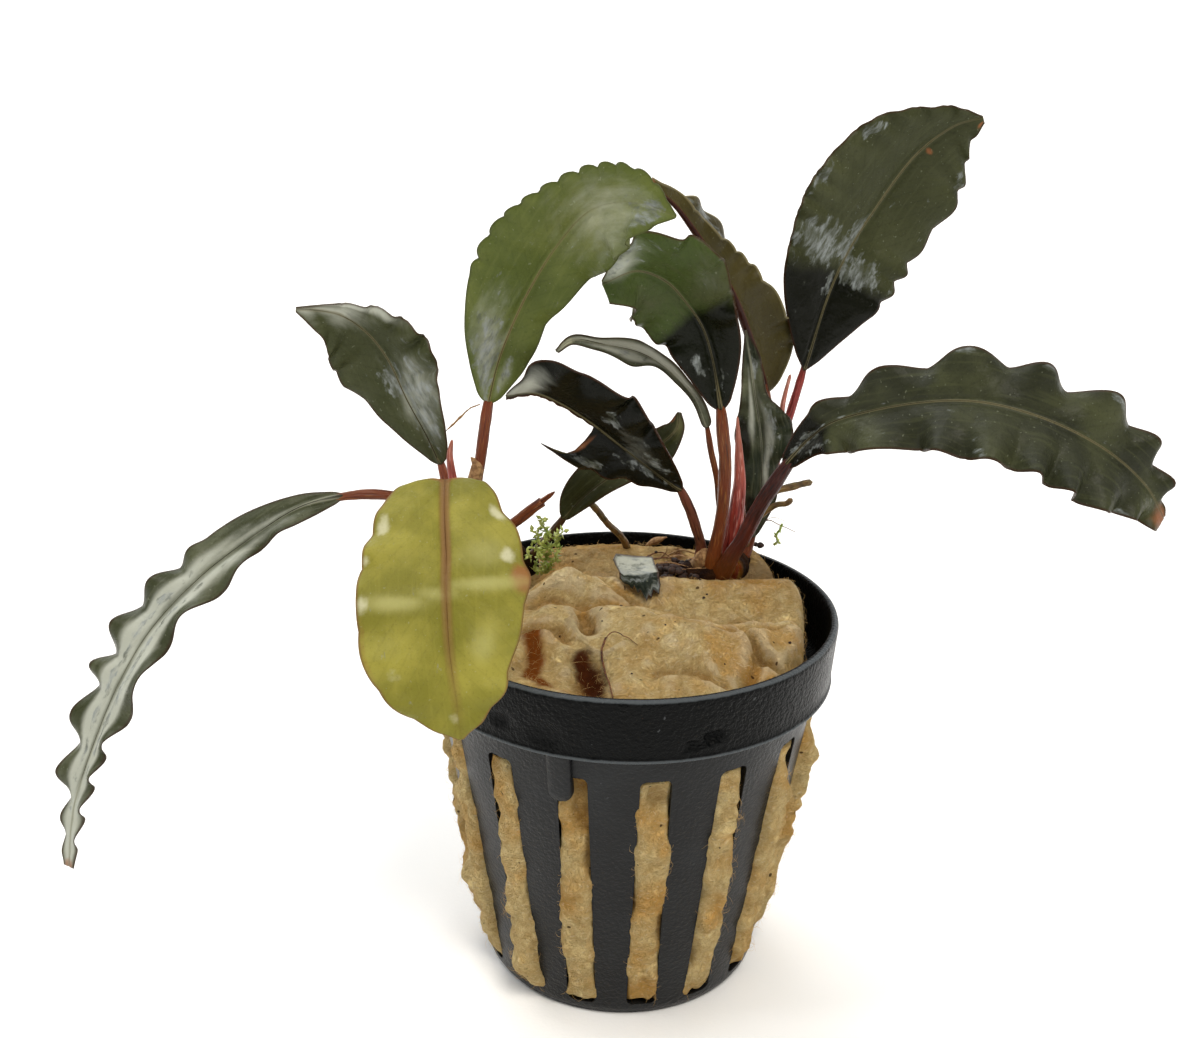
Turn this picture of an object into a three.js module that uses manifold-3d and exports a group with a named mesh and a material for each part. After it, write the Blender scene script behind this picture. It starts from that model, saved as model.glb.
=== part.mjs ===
// A small creeping aquarium plant in its nursery pot: leathery wavy leaves on thin stalks, grown
// from two short rhizomes held between two pads of rock wool in a black slotted net pot.
// Millimetres, +Z up. The origin is the middle of the pot's flat base. -Y is the front, +X the
// right. Everything is still, so the whole plant and its pot are one group with nested groups.

import * as THREE from 'three';
import { mergeVertices } from 'three/addons/utils/BufferGeometryUtils.js';
import Module from 'manifold-3d';

const wasm = await Module();
wasm.setup();

// Driving dimensions of the pot
const RIM_RADIUS = 26;
const POT_HEIGHT = 48;
const FOOT_RADIUS = 17.5;
const SHOULDER_RADIUS = 23.8;
const COLLAR_BOTTOM = 40;
const COLLAR_FOOT_RADIUS = 25.4;
const WALL = 1;
const FLOOR = 1;
const SLOT_COUNT = 15;
const SLOT_WIDTH = 3.7;
const SLOT_BOTTOM = 1.8;
const SLOT_TOP = 36.5;
const FIRST_SLOT_ANGLE = 9.2;
const TAB_ANGLE = -18;
const TAB_HALF_WIDTH = 1.5;
const TAB_LENGTH = 7;
const TAB_THICKNESS = 1.2;
const BASE_SLOT_WIDTH = 2;
const BASE_SLOT_REACH = [8.5, 15];

// Driving dimensions of the wool and of the plant's fits
const GAP = 0.3;
const WOOL_TOP = 46.8;
const WOOL_FRONT_RADIUS = 24.2;
const WOOL_BACK_RADIUS = 21.8;
const RHIZOME_RADIUS = 1.9;
const LEFT_RHIZOME_RADIUS = 1.55;
const LEAF_HALF_THICKNESS = 0.28;
const TIP_THINNING = 0.5;
const MIN_HALF_WIDTH = 0.15;
const INSIDE_POT = 12;
const OUTSIDE_POT = 28;
const FAR = 27;

const MERGE_TOLERANCE = 1e-4;
const CURVE_END = 0.001;
const rad = THREE.MathUtils.degToRad;
const smooth = THREE.MathUtils.smoothstep;

// A closed three.js geometry as a solid that can be cut and joined.
function solidOf(geometry) {
  const bare = geometry.index ? geometry.clone() : geometry;
  bare.deleteAttribute('normal');
  bare.deleteAttribute('uv');
  const merged = mergeVertices(bare, MERGE_TOLERANCE);
  const corners = merged.index.array;
  const kept = [];
  for (let i = 0; i < corners.length; i += 3) {
    const [a, b, c] = [corners[i], corners[i + 1], corners[i + 2]];
    if (a !== b && b !== c && c !== a) kept.push(a, b, c);
  }
  const vertProperties = new Float32Array(merged.attributes.position.array);
  const triVerts = new Uint32Array(kept);
  return new wasm.Manifold(new wasm.Mesh({ numProp: 3, vertProperties, triVerts }));
}

// The solid again as a three.js mesh, with its name and its finish.
function meshOf(name, solid, finish) {
  const cut = solid.getMesh();
  const geometry = new THREE.BufferGeometry();
  geometry.setAttribute('position', new THREE.BufferAttribute(cut.vertProperties, 3));
  geometry.setIndex(new THREE.BufferAttribute(cut.triVerts, 1));
  const mesh = new THREE.Mesh(geometry, finish);
  mesh.name = name;
  return mesh;
}

function joined(solids) {
  return solids.reduce((whole, next) => whole.add(next));
}

const curveThrough = (points) =>
  new THREE.CatmullRomCurve3(points.map((p) => new THREE.Vector3(...p)), false, 'catmullrom', 0.5);

// A round stem of even thickness along a smooth curve through the points.
function stem(points, radius, { sides = 6, steps = 6 } = {}) {
  const section = new THREE.Shape();
  for (let i = 0; i < sides; i++) {
    const turn = (2 * Math.PI * i) / sides;
    const [x, y] = [radius * Math.cos(turn), radius * Math.sin(turn)];
    if (i === 0) section.moveTo(x, y);
    else section.lineTo(x, y);
  }
  section.closePath();
  const path = curveThrough(points);
  return solidOf(new THREE.ExtrudeGeometry(section, { extrudePath: path, steps, bevelEnabled: false }));
}

// A young leaf still rolled up: a round stem that tapers to a point.
function taperedStem(points, radius, tipRadius) {
  const path = curveThrough(points);
  const geometry = new THREE.CylinderGeometry(1, 1, 1, 6, 6);
  moveVertices(geometry, (x, y, z) => {
    const t = y + 0.5;
    const { centre, right, facing } = frameAt(path, t, 0);
    const r = THREE.MathUtils.lerp(radius, tipRadius, t * t);
    return centre.addScaledVector(right, x * r).addScaledVector(facing, z * r);
  });
  return solidOf(geometry);
}

function moveVertices(geometry, place) {
  const position = geometry.attributes.position;
  for (let i = 0; i < position.count; i++) {
    const p = place(position.getX(i), position.getY(i), position.getZ(i));
    position.setXYZ(i, p.x, p.y, p.z);
  }
  return geometry;
}

// The frame across a midrib: the way to the leaf's right margin, and the way its face looks. At
// no roll the face looks to -Y. A positive roll turns the right margin back, towards +Y.
function frameAt(path, t, roll) {
  const centre = path.getPoint(t);
  const along = path.getTangent(THREE.MathUtils.clamp(t, CURVE_END, 1 - CURVE_END));
  const flat = new THREE.Vector3(0, 1, 0).cross(along).normalize();
  const back = along.clone().cross(flat);
  const right = flat.multiplyScalar(Math.cos(roll)).addScaledVector(back, Math.sin(roll));
  const facing = right.clone().cross(along).normalize();
  return { centre, right, facing };
}

// How far a ruffle lifts the margin at a share t of the blade's length.
function ruffleLift(ruffle, t) {
  if (!ruffle) return 0;
  const fade = smooth(t, 0, 0.2);
  return ruffle.height * fade * Math.sin(2 * Math.PI * (ruffle.count * t + ruffle.shift));
}

// A blade is a round bar pressed flat along its midrib. Each station of the midrib is
// [x, y, z, left half width, right half width, roll in degrees], base first. Each half may fold
// towards the leaf's upper face, which looks to the front unless upper is -1. The midrib turns
// halfway between its two halves, so a half that is folded over doesn't cut into the other.
function blade({ stations, folds = [12, 12], ruffles = [], upper = 1, rows = 20, sides = 8 }) {
  const midrib = curveThrough(stations.map(([x, y, z]) => [x, y, z]));
  const spread = curveThrough(stations.map(([, , , left, right, roll]) => [left, right, roll]));
  const geometry = new THREE.CylinderGeometry(1, 1, 1, sides, rows);
  moveVertices(geometry, (x, y, z) => {
    const t = y + 0.5;
    const width = spread.getPoint(t);
    const { centre, right, facing } = frameAt(midrib, t, rad(width.z));
    const side = x < 0 ? 0 : 1;
    const sign = x < 0 ? -1 : 1;
    const bent = folds.map((angle) => rad(angle) * smooth(t, 0, 0.15) * upper);
    const onMidrib = Math.abs(x) < 0.1;
    const fold = onMidrib ? 0 : bent[side];
    const turn = onMidrib ? (bent[0] - bent[1]) / 2 : -sign * fold;
    const reach = Math.max(side === 0 ? width.x : width.y, MIN_HALF_WIDTH) * Math.abs(x);
    const lift = upper * ruffleLift(ruffles[side], t) * Math.abs(x) ** 2.5;
    const thickness = z * LEAF_HALF_THICKNESS * (1 - TIP_THINNING * t);
    const outward = right.clone().multiplyScalar(sign * Math.cos(fold))
      .addScaledVector(facing, Math.sin(fold));
    const normal = facing.clone().multiplyScalar(Math.cos(turn)).addScaledVector(right, Math.sin(turn));
    return centre.addScaledVector(outward, reach).addScaledVector(normal, thickness + lift);
  });
  return solidOf(pairDiagonals(geometry, rows, sides));
}

// The back of a blade gets the same diagonals as its front, so that a waving margin is nowhere
// thinner than its edge. A cylinder's wall comes first in its index, column by column.
function pairDiagonals(geometry, rows, sides) {
  const index = geometry.index;
  for (let quad = (rows * sides) / 4; quad < (3 * rows * sides) / 4; quad++) {
    const at = quad * 6;
    const [a, b, d, , c] = [0, 1, 2, 3, 4].map((i) => index.getX(at + i));
    [a, b, c, a, c, d].forEach((corner, i) => index.setX(at + i, corner));
  }
  return geometry;
}

// A leaf is its blade on its stalk. The stalk runs a little way into the blade's midrib.
function leaf({ stalk, stalkRadius, stalkSteps = 5, ...form }) {
  const [first, second] = form.stations;
  const inBlade = [0, 1, 2].map((i) => THREE.MathUtils.lerp(first[i], second[i], 0.35));
  const stalkSolid = stem([...stalk, inBlade], stalkRadius, { steps: stalkSteps });
  return stalkSolid.add(blade(form));
}

// The pot: a thin tapered cup with a collar, slotted down its side and in its base.
const wallRadius = (z) => THREE.MathUtils.lerp(FOOT_RADIUS, SHOULDER_RADIUS, z / COLLAR_BOTTOM);

function potCup() {
  const profile = [
    [0, 0], [FOOT_RADIUS - 1.1, 0], [FOOT_RADIUS - 0.3, 0.3], [wallRadius(1.2), 1.2],
    [SHOULDER_RADIUS, COLLAR_BOTTOM], [COLLAR_FOOT_RADIUS, COLLAR_BOTTOM],
    [RIM_RADIUS, POT_HEIGHT - 0.5], [RIM_RADIUS - 0.4, POT_HEIGHT], [RIM_RADIUS - 1, POT_HEIGHT],
    [RIM_RADIUS - 1.4, COLLAR_BOTTOM + 1.2], [SHOULDER_RADIUS - WALL, COLLAR_BOTTOM],
    [wallRadius(FLOOR) - WALL, FLOOR], [0, FLOOR],
  ].map(([r, z]) => new THREE.Vector2(r, z));
  return solidOf(new THREE.LatheGeometry(profile, 3 * SLOT_COUNT).rotateX(Math.PI / 2));
}

function slotOutline(width, low, high) {
  const half = width / 2;
  const corners = [[-half, low], [half, low], [half, high], [-half, high]];
  return new THREE.Shape(corners.map(([x, y]) => new THREE.Vector2(x, y)));
}

const slotAngle = (i) => rad(FIRST_SLOT_ANGLE + (360 / SLOT_COUNT) * i);

function sideSlot(i) {
  const outline = slotOutline(SLOT_WIDTH, SLOT_BOTTOM, SLOT_TOP);
  const depth = OUTSIDE_POT - INSIDE_POT;
  const cutter = new THREE.ExtrudeGeometry(outline, { depth, bevelEnabled: false });
  return solidOf(cutter.rotateX(Math.PI / 2).translate(0, -INSIDE_POT, 0).rotateZ(slotAngle(i)));
}

function baseSlot(i) {
  const [inner, outer] = BASE_SLOT_REACH;
  const outline = slotOutline(BASE_SLOT_WIDTH, -outer, -inner);
  const cutter = new THREE.ExtrudeGeometry(outline, { depth: FLOOR + 2, bevelEnabled: false });
  return solidOf(cutter.translate(0, 0, -1).rotateZ(slotAngle(i)));
}

// The small moulded tab that hangs from the collar on the front.
function tab() {
  const shape = new THREE.Shape();
  shape.moveTo(TAB_HALF_WIDTH, TAB_LENGTH + 0.2);
  shape.lineTo(-TAB_HALF_WIDTH, TAB_LENGTH + 0.2);
  shape.absarc(0, TAB_HALF_WIDTH, TAB_HALF_WIDTH, Math.PI, 2 * Math.PI);
  const form = { depth: TAB_THICKNESS, curveSegments: 6, bevelEnabled: false };
  const plate = new THREE.ExtrudeGeometry(shape, form);
  const taper = Math.atan((SHOULDER_RADIUS - FOOT_RADIUS) / COLLAR_BOTTOM);
  const bottom = COLLAR_BOTTOM - TAB_LENGTH;
  plate.rotateX(Math.PI / 2 + taper).translate(0, TAB_THICKNESS / 2 - wallRadius(bottom), bottom);
  return solidOf(plate.rotateZ(rad(TAB_ANGLE)));
}

function pot() {
  const cuts = [];
  for (let i = 0; i < SLOT_COUNT; i++) cuts.push(sideSlot(i), baseSlot(i));
  return potCup().subtract(joined(cuts)).add(tab());
}

// Rolls and folds of the wool's top: [x1, y1, x2, y2, half width, height].
const WOOL_ROLLS = [
  [-9, 2, 20, 3, 4.5, 2.2],
  [-8, -9, 6, -11, 6, 2.4],
  [6, -10, 12, -10, 5, 0.8],
  [14, -12, 22, -4, 3.5, 1.2],
  [-14, 9, 12, 9.5, 2.5, -1.5],
  [-14, 17, 12, 18, 5.5, 1.6],
  [15, 13, 18, 13, 4, 3.8],
];

function woolTop(x, y) {
  let height = WOOL_TOP;
  for (const [x1, y1, x2, y2, width, rise] of WOOL_ROLLS) {
    const line = new THREE.Line3(new THREE.Vector3(x1, y1, 0), new THREE.Vector3(x2, y2, 0));
    const near = line.closestPointToPoint(new THREE.Vector3(x, y, 0), true, new THREE.Vector3());
    height += rise * Math.exp(-(((near.x - x) ** 2 + (near.y - y) ** 2) / width ** 2));
  }
  return height;
}

// The wool keeps off the rim at the back and on the right, and fills the pot in front.
function woolReach(x, y) {
  const back = smooth(y, -8, 8);
  const right = smooth(x, 8, 20) * smooth(y, -16, -4);
  return THREE.MathUtils.lerp(1, WOOL_BACK_RADIUS / WOOL_FRONT_RADIUS, Math.max(back, right));
}

function woolCore() {
  const inner = (z) => wallRadius(z) - WALL - GAP;
  const profile = [
    [0, FLOOR + GAP], [inner(FLOOR), FLOOR + GAP], [inner(COLLAR_BOTTOM) - 0.2, COLLAR_BOTTOM + 0.3],
    [WOOL_FRONT_RADIUS - 0.2, COLLAR_BOTTOM + 2.2], [WOOL_FRONT_RADIUS, WOOL_TOP - 1.5],
    [22, WOOL_TOP], [17.5, WOOL_TOP], [13, WOOL_TOP], [8.5, WOOL_TOP], [4, WOOL_TOP], [0, WOOL_TOP],
  ].map(([r, z]) => new THREE.Vector2(r, z));
  const core = new THREE.LatheGeometry(profile, 36).rotateX(Math.PI / 2);
  return solidOf(moveVertices(core, (x, y, z) => {
    if (z < COLLAR_BOTTOM + 1) return new THREE.Vector3(x, y, z);
    const shrink = woolReach(x, y);
    const raised = smooth(z, COLLAR_BOTTOM + 1, WOOL_TOP) * (woolTop(x, y) - WOOL_TOP);
    return new THREE.Vector3(x * shrink, y * shrink, z + raised);
  }));
}

// The wool swells out through each slot: how far, at the bottom, middle and top of the slot.
const PLAIN_SWELL = [0.2, 0.5, 0.3];
const SLOT_SWELLS = new Map([
  [3, [0.2, 1.2, 2]], [11, [0.6, 1, 0.4]], [13, [1.5, 0.5, 0.4]], [14, [0.3, 0.3, -1.3]],
]);

function slotFill(i) {
  const [low, middle, high] = SLOT_SWELLS.get(i) ?? PLAIN_SWELL;
  const [bottom, top] = [SLOT_BOTTOM + GAP, SLOT_TOP - GAP];
  const shape = new THREE.Shape();
  shape.moveTo(INSIDE_POT, bottom);
  shape.lineTo(wallRadius(bottom) - 0.4, bottom);
  shape.lineTo(wallRadius(5) + low, 5);
  shape.lineTo(wallRadius(12) + (low + middle) / 2, 12);
  shape.lineTo(wallRadius(20) + middle, 20);
  shape.lineTo(wallRadius(31) + high, 31);
  shape.lineTo(wallRadius(top) + Math.min(high, 0) - 0.4, top);
  shape.lineTo(INSIDE_POT, top);
  const depth = SLOT_WIDTH - 2 * GAP;
  const fill = new THREE.ExtrudeGeometry(shape, { depth, bevelEnabled: false });
  fill.translate(0, 0, -depth / 2).rotateX(Math.PI / 2).rotateZ(slotAngle(i) - Math.PI / 2);
  return solidOf(fill);
}

// The room in front of the slit between the two pads. Its ends run out through whole ribs.
const SLIT = [[-FAR, 4.1], [-14, 2.2], [-8, 6.5], [1, 9.3], [8, 7], [14, 0.8], [FAR, 1.5]];

function frontRoom(shift) {
  const shape = new THREE.Shape();
  shape.moveTo(-FAR, -FAR);
  shape.lineTo(FAR, -FAR);
  for (const [x, y] of SLIT.toReversed()) shape.lineTo(x, y + shift);
  const room = new THREE.ExtrudeGeometry(shape, { depth: 2 * FAR, bevelEnabled: false });
  return solidOf(room.translate(0, 0, -1));
}

// The rhizomes, each named from its old end to its growing crown.
const RIGHT_RHIZOME = [[4, 8.5, 48], [7.5, 6.4, 49.3], [10.6, 5.4, 50.3], [12.8, 8.6, 49.9],
  [14.4, 13, 48.9], [15.2, 18, 47.9]];
const LEFT_RHIZOME = [[-12.6, 10.5, 48.2], [-15.8, 6, 52.6], [-19, 1.4, 56.8], [-20.8, -0.6, 59.6]];

function lengthened(points, extra) {
  const ends = [[0, 1], [points.length - 1, points.length - 2]];
  const longer = points.map((p) => new THREE.Vector3(...p));
  for (const [end, inside] of ends) {
    const way = longer[end].clone().sub(longer[inside]).normalize();
    longer[end].addScaledVector(way, extra);
  }
  return longer.map((p) => p.toArray());
}

const rhizomeForm = { sides: 10, steps: 8 };
const rightRhizome = stem(RIGHT_RHIZOME, RHIZOME_RADIUS, rhizomeForm);
const leftRhizome = stem(LEFT_RHIZOME, LEFT_RHIZOME_RADIUS, rhizomeForm);
const rightRoom = stem(lengthened(RIGHT_RHIZOME, GAP), RHIZOME_RADIUS + GAP, rhizomeForm);
const leftRoom = stem(lengthened(LEFT_RHIZOME, GAP), LEFT_RHIZOME_RADIUS + GAP, rhizomeForm);

// Leaves of the right shoot
const RIGHT_LEAVES = {
  leaf_upper_right: {
    tone: 0x2f3329,
    stalk: [[15.1, 17.2, 48.6], [15.9, 18.2, 53], [17.3, 18.4, 58.4], [19.5, 17.6, 64.6], [20.8, 17, 70.1]],
    stalkRadius: 0.55,
    stations: [[21.8, 17, 74.1, 0.6, 0.6, 10], [24.1, 18, 83.1, 6.4, 6.3, 10],
      [26.3, 19, 88.7, 8.8, 7.7, 12], [29.3, 20, 93.9, 10.3, 8.1, 14], [33.7, 20, 100.7, 8.7, 8.2, 16],
      [37.9, 19, 104.6, 3.7, 4.7, 18], [41.5, 18, 106, 0.2, 0.8, 20]],
    folds: [10, 10],
    ruffles: [{ count: 6.5, shift: 0.2, height: 0.9 }, { count: 5.5, shift: 0.6, height: 0.9 }],
    rows: 20,
  },
  leaf_long_right: {
    tone: 0x3a3f2c,
    stalk: [[11.5, 4.8, 50.6], [12.4, 3.4, 52.9], [13.8, 2, 56.3], [15.3, 1, 60.3], [16.7, 0, 63.6]],
    stalkRadius: 0.95,
    stations: [[18.1, -1, 67, 0.9, 0.8, -30], [20.8, -3, 71.2, 2.1, 2.3, -36],
      [23.8, -5, 74.1, 2.9, 4.2, -40], [31, -9, 77.3, 4.4, 5.6, -42], [37.7, -12, 78.5, 5.6, 7.2, -42],
      [44.9, -13, 77, 4.9, 7.4, -40], [51.6, -13, 73.8, 5.1, 7.3, -35], [56.8, -12, 69.6, 3, 4.6, -30],
      [59.9, -11, 65.3, 0.4, 1.9, -25]],
    folds: [14, 8],
    ruffles: [{ count: 6, shift: 0.43, height: 1.4 }, { count: 8, shift: 0.89, height: 1.4 }],
    rows: 28,
  },
  leaf_centre_broad: {
    tone: 0x454b39,
    stalk: [[10.4, 5.3, 50.6], [10.7, 4.2, 54], [11.3, 3, 59.8], [11.3, 2, 66.2], [10.8, 2, 70.1]],
    stalkRadius: 0.8,
    stations: [[10.5, 2, 72.8, 0.9, 0.9, 0], [9.3, 3, 78.7, 4, 3.5, -4], [8, 3, 82.6, 5.1, 4.6, -8],
      [6, 2, 85.7, 6, 5.9, -10], [3.4, 0, 88.7, 6, 7.2, -10], [-0.1, -3, 90.4, 5.3, 4.8, -8],
      [-3.8, -6, 89.4, 2.4, 0.4, 0]],
    folds: [14, 14],
    ruffles: [{ count: 3.5, shift: 0.3, height: 0.9 }, { count: 4.5, shift: 0.1, height: 1 }],
    rows: 16,
  },
  leaf_notched: {
    tone: 0x2b2f22,
    stalk: [[8.9, 6, 50.3], [9, 5.2, 53.9], [8.3, 4, 56.7], [7.2, 3, 60]],
    stalkRadius: 0.65,
    stations: [[6.2, 2, 62.5, 0.6, 0.5, -14], [2.2, 0, 66.1, 2.9, 3.5, -18],
      [-1.5, -1, 69.3, 5.2, 6, -20], [-5, -2, 72.3, 6.4, 7.5, -22], [-8.5, -4, 75.1, 5, 6, -20],
      [-11.5, -5, 76.5, 3.4, 5.2, -15], [-14.5, -7, 76.6, 0.3, 0.3, -10]],
    folds: [12, 12],
    ruffles: [{ count: 3, shift: 0.4, height: 0.7 }, { count: 4, shift: 0.2, height: 0.8 }],
    rows: 16,
  },
  leaf_back_silver: {
    tone: 0x6c7466,
    stalk: [[14, 14.2, 49.2], [12.6, 14.8, 52], [11.7, 15, 55.8], [11.2, 15, 59.6], [10.2, 15, 63.7]],
    stalkRadius: 0.42,
    stations: [[9.6, 15, 66.6, 0.5, 0.9, -20], [8.3, 16, 69.9, 0.7, 1.2, -25],
      [6, 16, 72.7, 0.8, 1.4, -28], [3.3, 16, 75, 1, 1.9, -30], [0.2, 16, 76.5, 2.2, 2.8, -30],
      [-4.4, 15, 77.6, 1.2, 1, -20], [-7.8, 14, 78.1, 0.7, 0.7, 10], [-9.8, 12, 77, 0.4, 0.3, 30]],
    folds: [20, 20],
    ruffles: [],
    rows: 12,
  },
  leaf_silver_rising: {
    tone: 0x5f675b,
    stalk: [[14.1, 11.2, 49.4], [15.1, 11.6, 50.8]],
    stalkRadius: 0.6,
    stations: [[16, 12, 52.8, 0.4, 0.4, 0], [16.7, 12.5, 58, 2.2, 2, 0], [16.7, 13, 63, 3.1, 2.3, 0],
      [16.3, 13.5, 67, 3.4, 4.4, 0], [15.4, 13.8, 71.6, 1.9, 1.6, 0], [14.6, 13.8, 75.9, 1.2, 1.4, 10],
      [13.7, 13.6, 80, 0.2, 0.2, 20]],
    folds: [14, 14],
    ruffles: [{ count: 3, shift: 0, height: 0.6 }, { count: 2.5, shift: 0.5, height: 0.7 }],
    rows: 14,
    stalkSteps: 2,
  },
  leaf_twisted: {
    tone: 0x5a5433,
    stalk: [[15.1, 18, 48.2], [15.2, 20, 51], [16.3, 20.6, 55.1], [17.5, 20.4, 62.3], [17.7, 19, 67.4]],
    stalkRadius: 0.6,
    stations: [[17.4, 18, 70.7, 0.6, 1, 0], [15.3, 16.2, 76.5, 3.2, 5.6, 10], [12.4, 12, 83.7, 4.4, 4.7, 20],
      [9.8, 10, 88.4, 4.5, 3.4, 25], [7.1, 8, 92.5, 4, 2.1, 30], [4.4, 6, 96.1, 2.2, 1.9, 35],
      [1.2, 4, 99, 0.3, 1, 40]],
    folds: [148, 4],
    ruffles: [{ count: 3, shift: 0.2, height: 0.3 }, { count: 3, shift: 0.6, height: 0.5 }],
    upper: -1,
    rows: 15,
  },
};

// Leaves of the left shoot
const LEFT_LEAVES = {
  leaf_left_green: {
    tone: 0x5f7a3f,
    stalk: [[-19.9, 0.4, 58.2], [-19.2, 0, 61.5], [-18.3, 0, 66], [-17.5, 0, 71.5]],
    stalkRadius: 0.7,
    stations: [[-17.2, 0, 73.6, 1, 0.9, 6], [-16.1, 0, 78.3, 3.5, 3.1, 6], [-14.5, -1, 82.7, 5.6, 3.6, 6],
      [-12.2, -2, 87.7, 7.2, 4.1, 6], [-9.1, -4, 93, 7.1, 5.6, 4], [-5.3, -7, 97.6, 4.8, 6.1, 0],
      [-0.6, -11, 99.2, 3.8, 4.8, -6], [3.9, -15, 98.4, 0.2, 0.2, -10]],
    folds: [10, 10],
    ruffles: [{ count: 7, shift: 0.2, height: 0.6 }, { count: 4, shift: 0.5, height: 0.6 }],
    rows: 18,
  },
  leaf_upper_left: {
    tone: 0x4a5238,
    stalk: [[-21.1, 0.2, 59.1], [-22.1, 1.2, 61.3], [-22.6, 1.1, 63.5]],
    stalkRadius: 0.6,
    stations: [[-23.1, 1, 65.5, 0.6, 0.9, -8], [-24.8, 1, 69.4, 2.6, 3.1, -8], [-27.1, 2, 73.3, 4.1, 5.2, -8],
      [-29.3, 3, 77.7, 6.1, 6.1, -5], [-31.6, 2, 81.3, 5.9, 4.4, 0], [-34.6, 0, 83.9, 4.6, 1.4, 10],
      [-38.8, -3, 85.1, 0.4, 0.2, 15]],
    folds: [14, 14],
    ruffles: [{ count: 5, shift: 0.1, height: 0.8 }, { count: 4, shift: 0.4, height: 0.7 }],
    rows: 16,
    stalkSteps: 3,
  },
  leaf_long_left: {
    tone: 0x59604f,
    stalk: [[-21.2, -1, 58.6], [-22.4, -2, 60.4], [-24, -3, 61.9], [-26.6, -5, 63.2], [-30.6, -6, 63.9]],
    stalkRadius: 0.6,
    stations: [[-33.4, -7, 64.1, 0.5, 0.5, 30], [-38.2, -9, 63.1, 1.8, 1.6, 34],
      [-43.1, -11, 60.2, 1.8, 3, 36], [-48.4, -14, 56.5, 3.4, 3.3, 38], [-53.5, -17, 51.4, 2.9, 3.8, 38],
      [-56.9, -20, 45.9, 4.2, 3.5, 38], [-60, -22, 38.7, 2, 3.3, 35], [-62.7, -23, 31.1, 1.6, 1.6, 30],
      [-63.8, -24, 23.7, 0.8, 0.8, 25]],
    folds: [12, 12],
    ruffles: [{ count: 7, shift: 0.2, height: 1.2 }, { count: 9, shift: 0.5, height: 1.1 }],
    rows: 28,
  },
  leaf_front_yellow: {
    tone: 0x9a9a35,
    stalk: [[-20.2, -1.2, 58.4], [-20.2, -3.4, 60], [-20.6, -6.4, 63.1], [-20.9, -9, 66]],
    stalkRadius: 0.65,
    stations: [[-21.2, -11, 67.5, 1.6, 2.2, 0], [-20.4, -17, 65.4, 5.3, 7.6, -4],
      [-19.8, -21, 62.6, 7.9, 8.5, -6], [-19.5, -24, 59.4, 8.8, 9.2, -8], [-18.9, -27, 54.1, 7.2, 9.3, -8],
      [-18, -29, 49.3, 5.1, 6.4, -6], [-17.4, -30, 45.1, 0.3, 0.4, 0]],
    folds: [6, 6],
    ruffles: [{ count: 2.5, shift: 0.2, height: 0.4 }, { count: 3, shift: 0.5, height: 0.4 }],
    rows: 15,
    stalkSteps: 4,
  },
  leaf_low_dark: {
    tone: 0x36442a,
    stalk: [[-13.2, 9.4, 49.2], [-11.4, 9, 52.1], [-9.8, 8, 54.5]],
    stalkRadius: 0.55,
    stations: [[-8.5, 7, 56.6, 0.6, 0.5, 0], [-6.4, 6, 59.5, 2.7, 1.3, 0], [-3.6, 5, 62.4, 3.6, 1.7, 0],
      [-0.2, 5, 64.9, 3.3, 2.2, 0], [2.8, 5, 67, 2.5, 2.6, 5], [5.2, 5, 69.4, 1.6, 1.2, 10],
      [5.6, 5, 71.6, 0.2, 0.3, 10]],
    folds: [12, 12],
    ruffles: [],
    rows: 10,
    stalkSteps: 3,
  },
};

// The bite out of the notched leaf's lower margin, and the thin spike of margin that is left.
function notched(whole) {
  const outline = [[-6.1, 72.8], [-6.6, 74.3], [-11.4, 75.7], [-14, 76.2], [-16.5, 76.3], [-17, 70],
    [-13, 68.5], [-10.6, 70.1], [-9.3, 70.9], [-7.4, 71.6]];
  const shape = new THREE.Shape(outline.map(([x, z]) => new THREE.Vector2(x, z)));
  const bite = new THREE.ExtrudeGeometry(shape, { depth: 20, bevelEnabled: false });
  const spikeRoute = [[-8.6, -1.8, 70], [-10.1, -2, 70.1], [-12, -2.2, 69.6]];
  const spike = stem(spikeRoute, 0.32, { sides: 5, steps: 2 });
  return whole.subtract(solidOf(bite.rotateX(Math.PI / 2).translate(0, 8, 0))).add(spike);
}

// Small stems: young rolled leaves, a cut stalk and bare roots
const BUDS = {
  bud_centre: {
    points: [[12.4, 7.4, 50.3], [12.9, 5.4, 55.8], [13.3, 4, 62.1], [13.1, 4, 66], [12.6, 4, 71.6]],
    radius: 0.75,
    tip: 0.2,
    tone: 0xa03c3c,
  },
  bud_back: {
    points: [[14.8, 15.6, 48.9], [16.2, 15.6, 52.5], [18.3, 15.6, 58.7], [19.1, 15.2, 65.3],
      [19.1, 14.6, 70], [19.8, 14.4, 74.2]],
    radius: 0.6,
    tip: 0.2,
    tone: 0xc9606a,
  },
  bud_left: {
    points: [[-20.7, -0.6, 59.6], [-21, -1.2, 62], [-21.6, -2, 67.1], [-21.3, -2, 69.7]],
    radius: 0.65,
    tip: 0.18,
    tone: 0xc9606a,
  },
};

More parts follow.
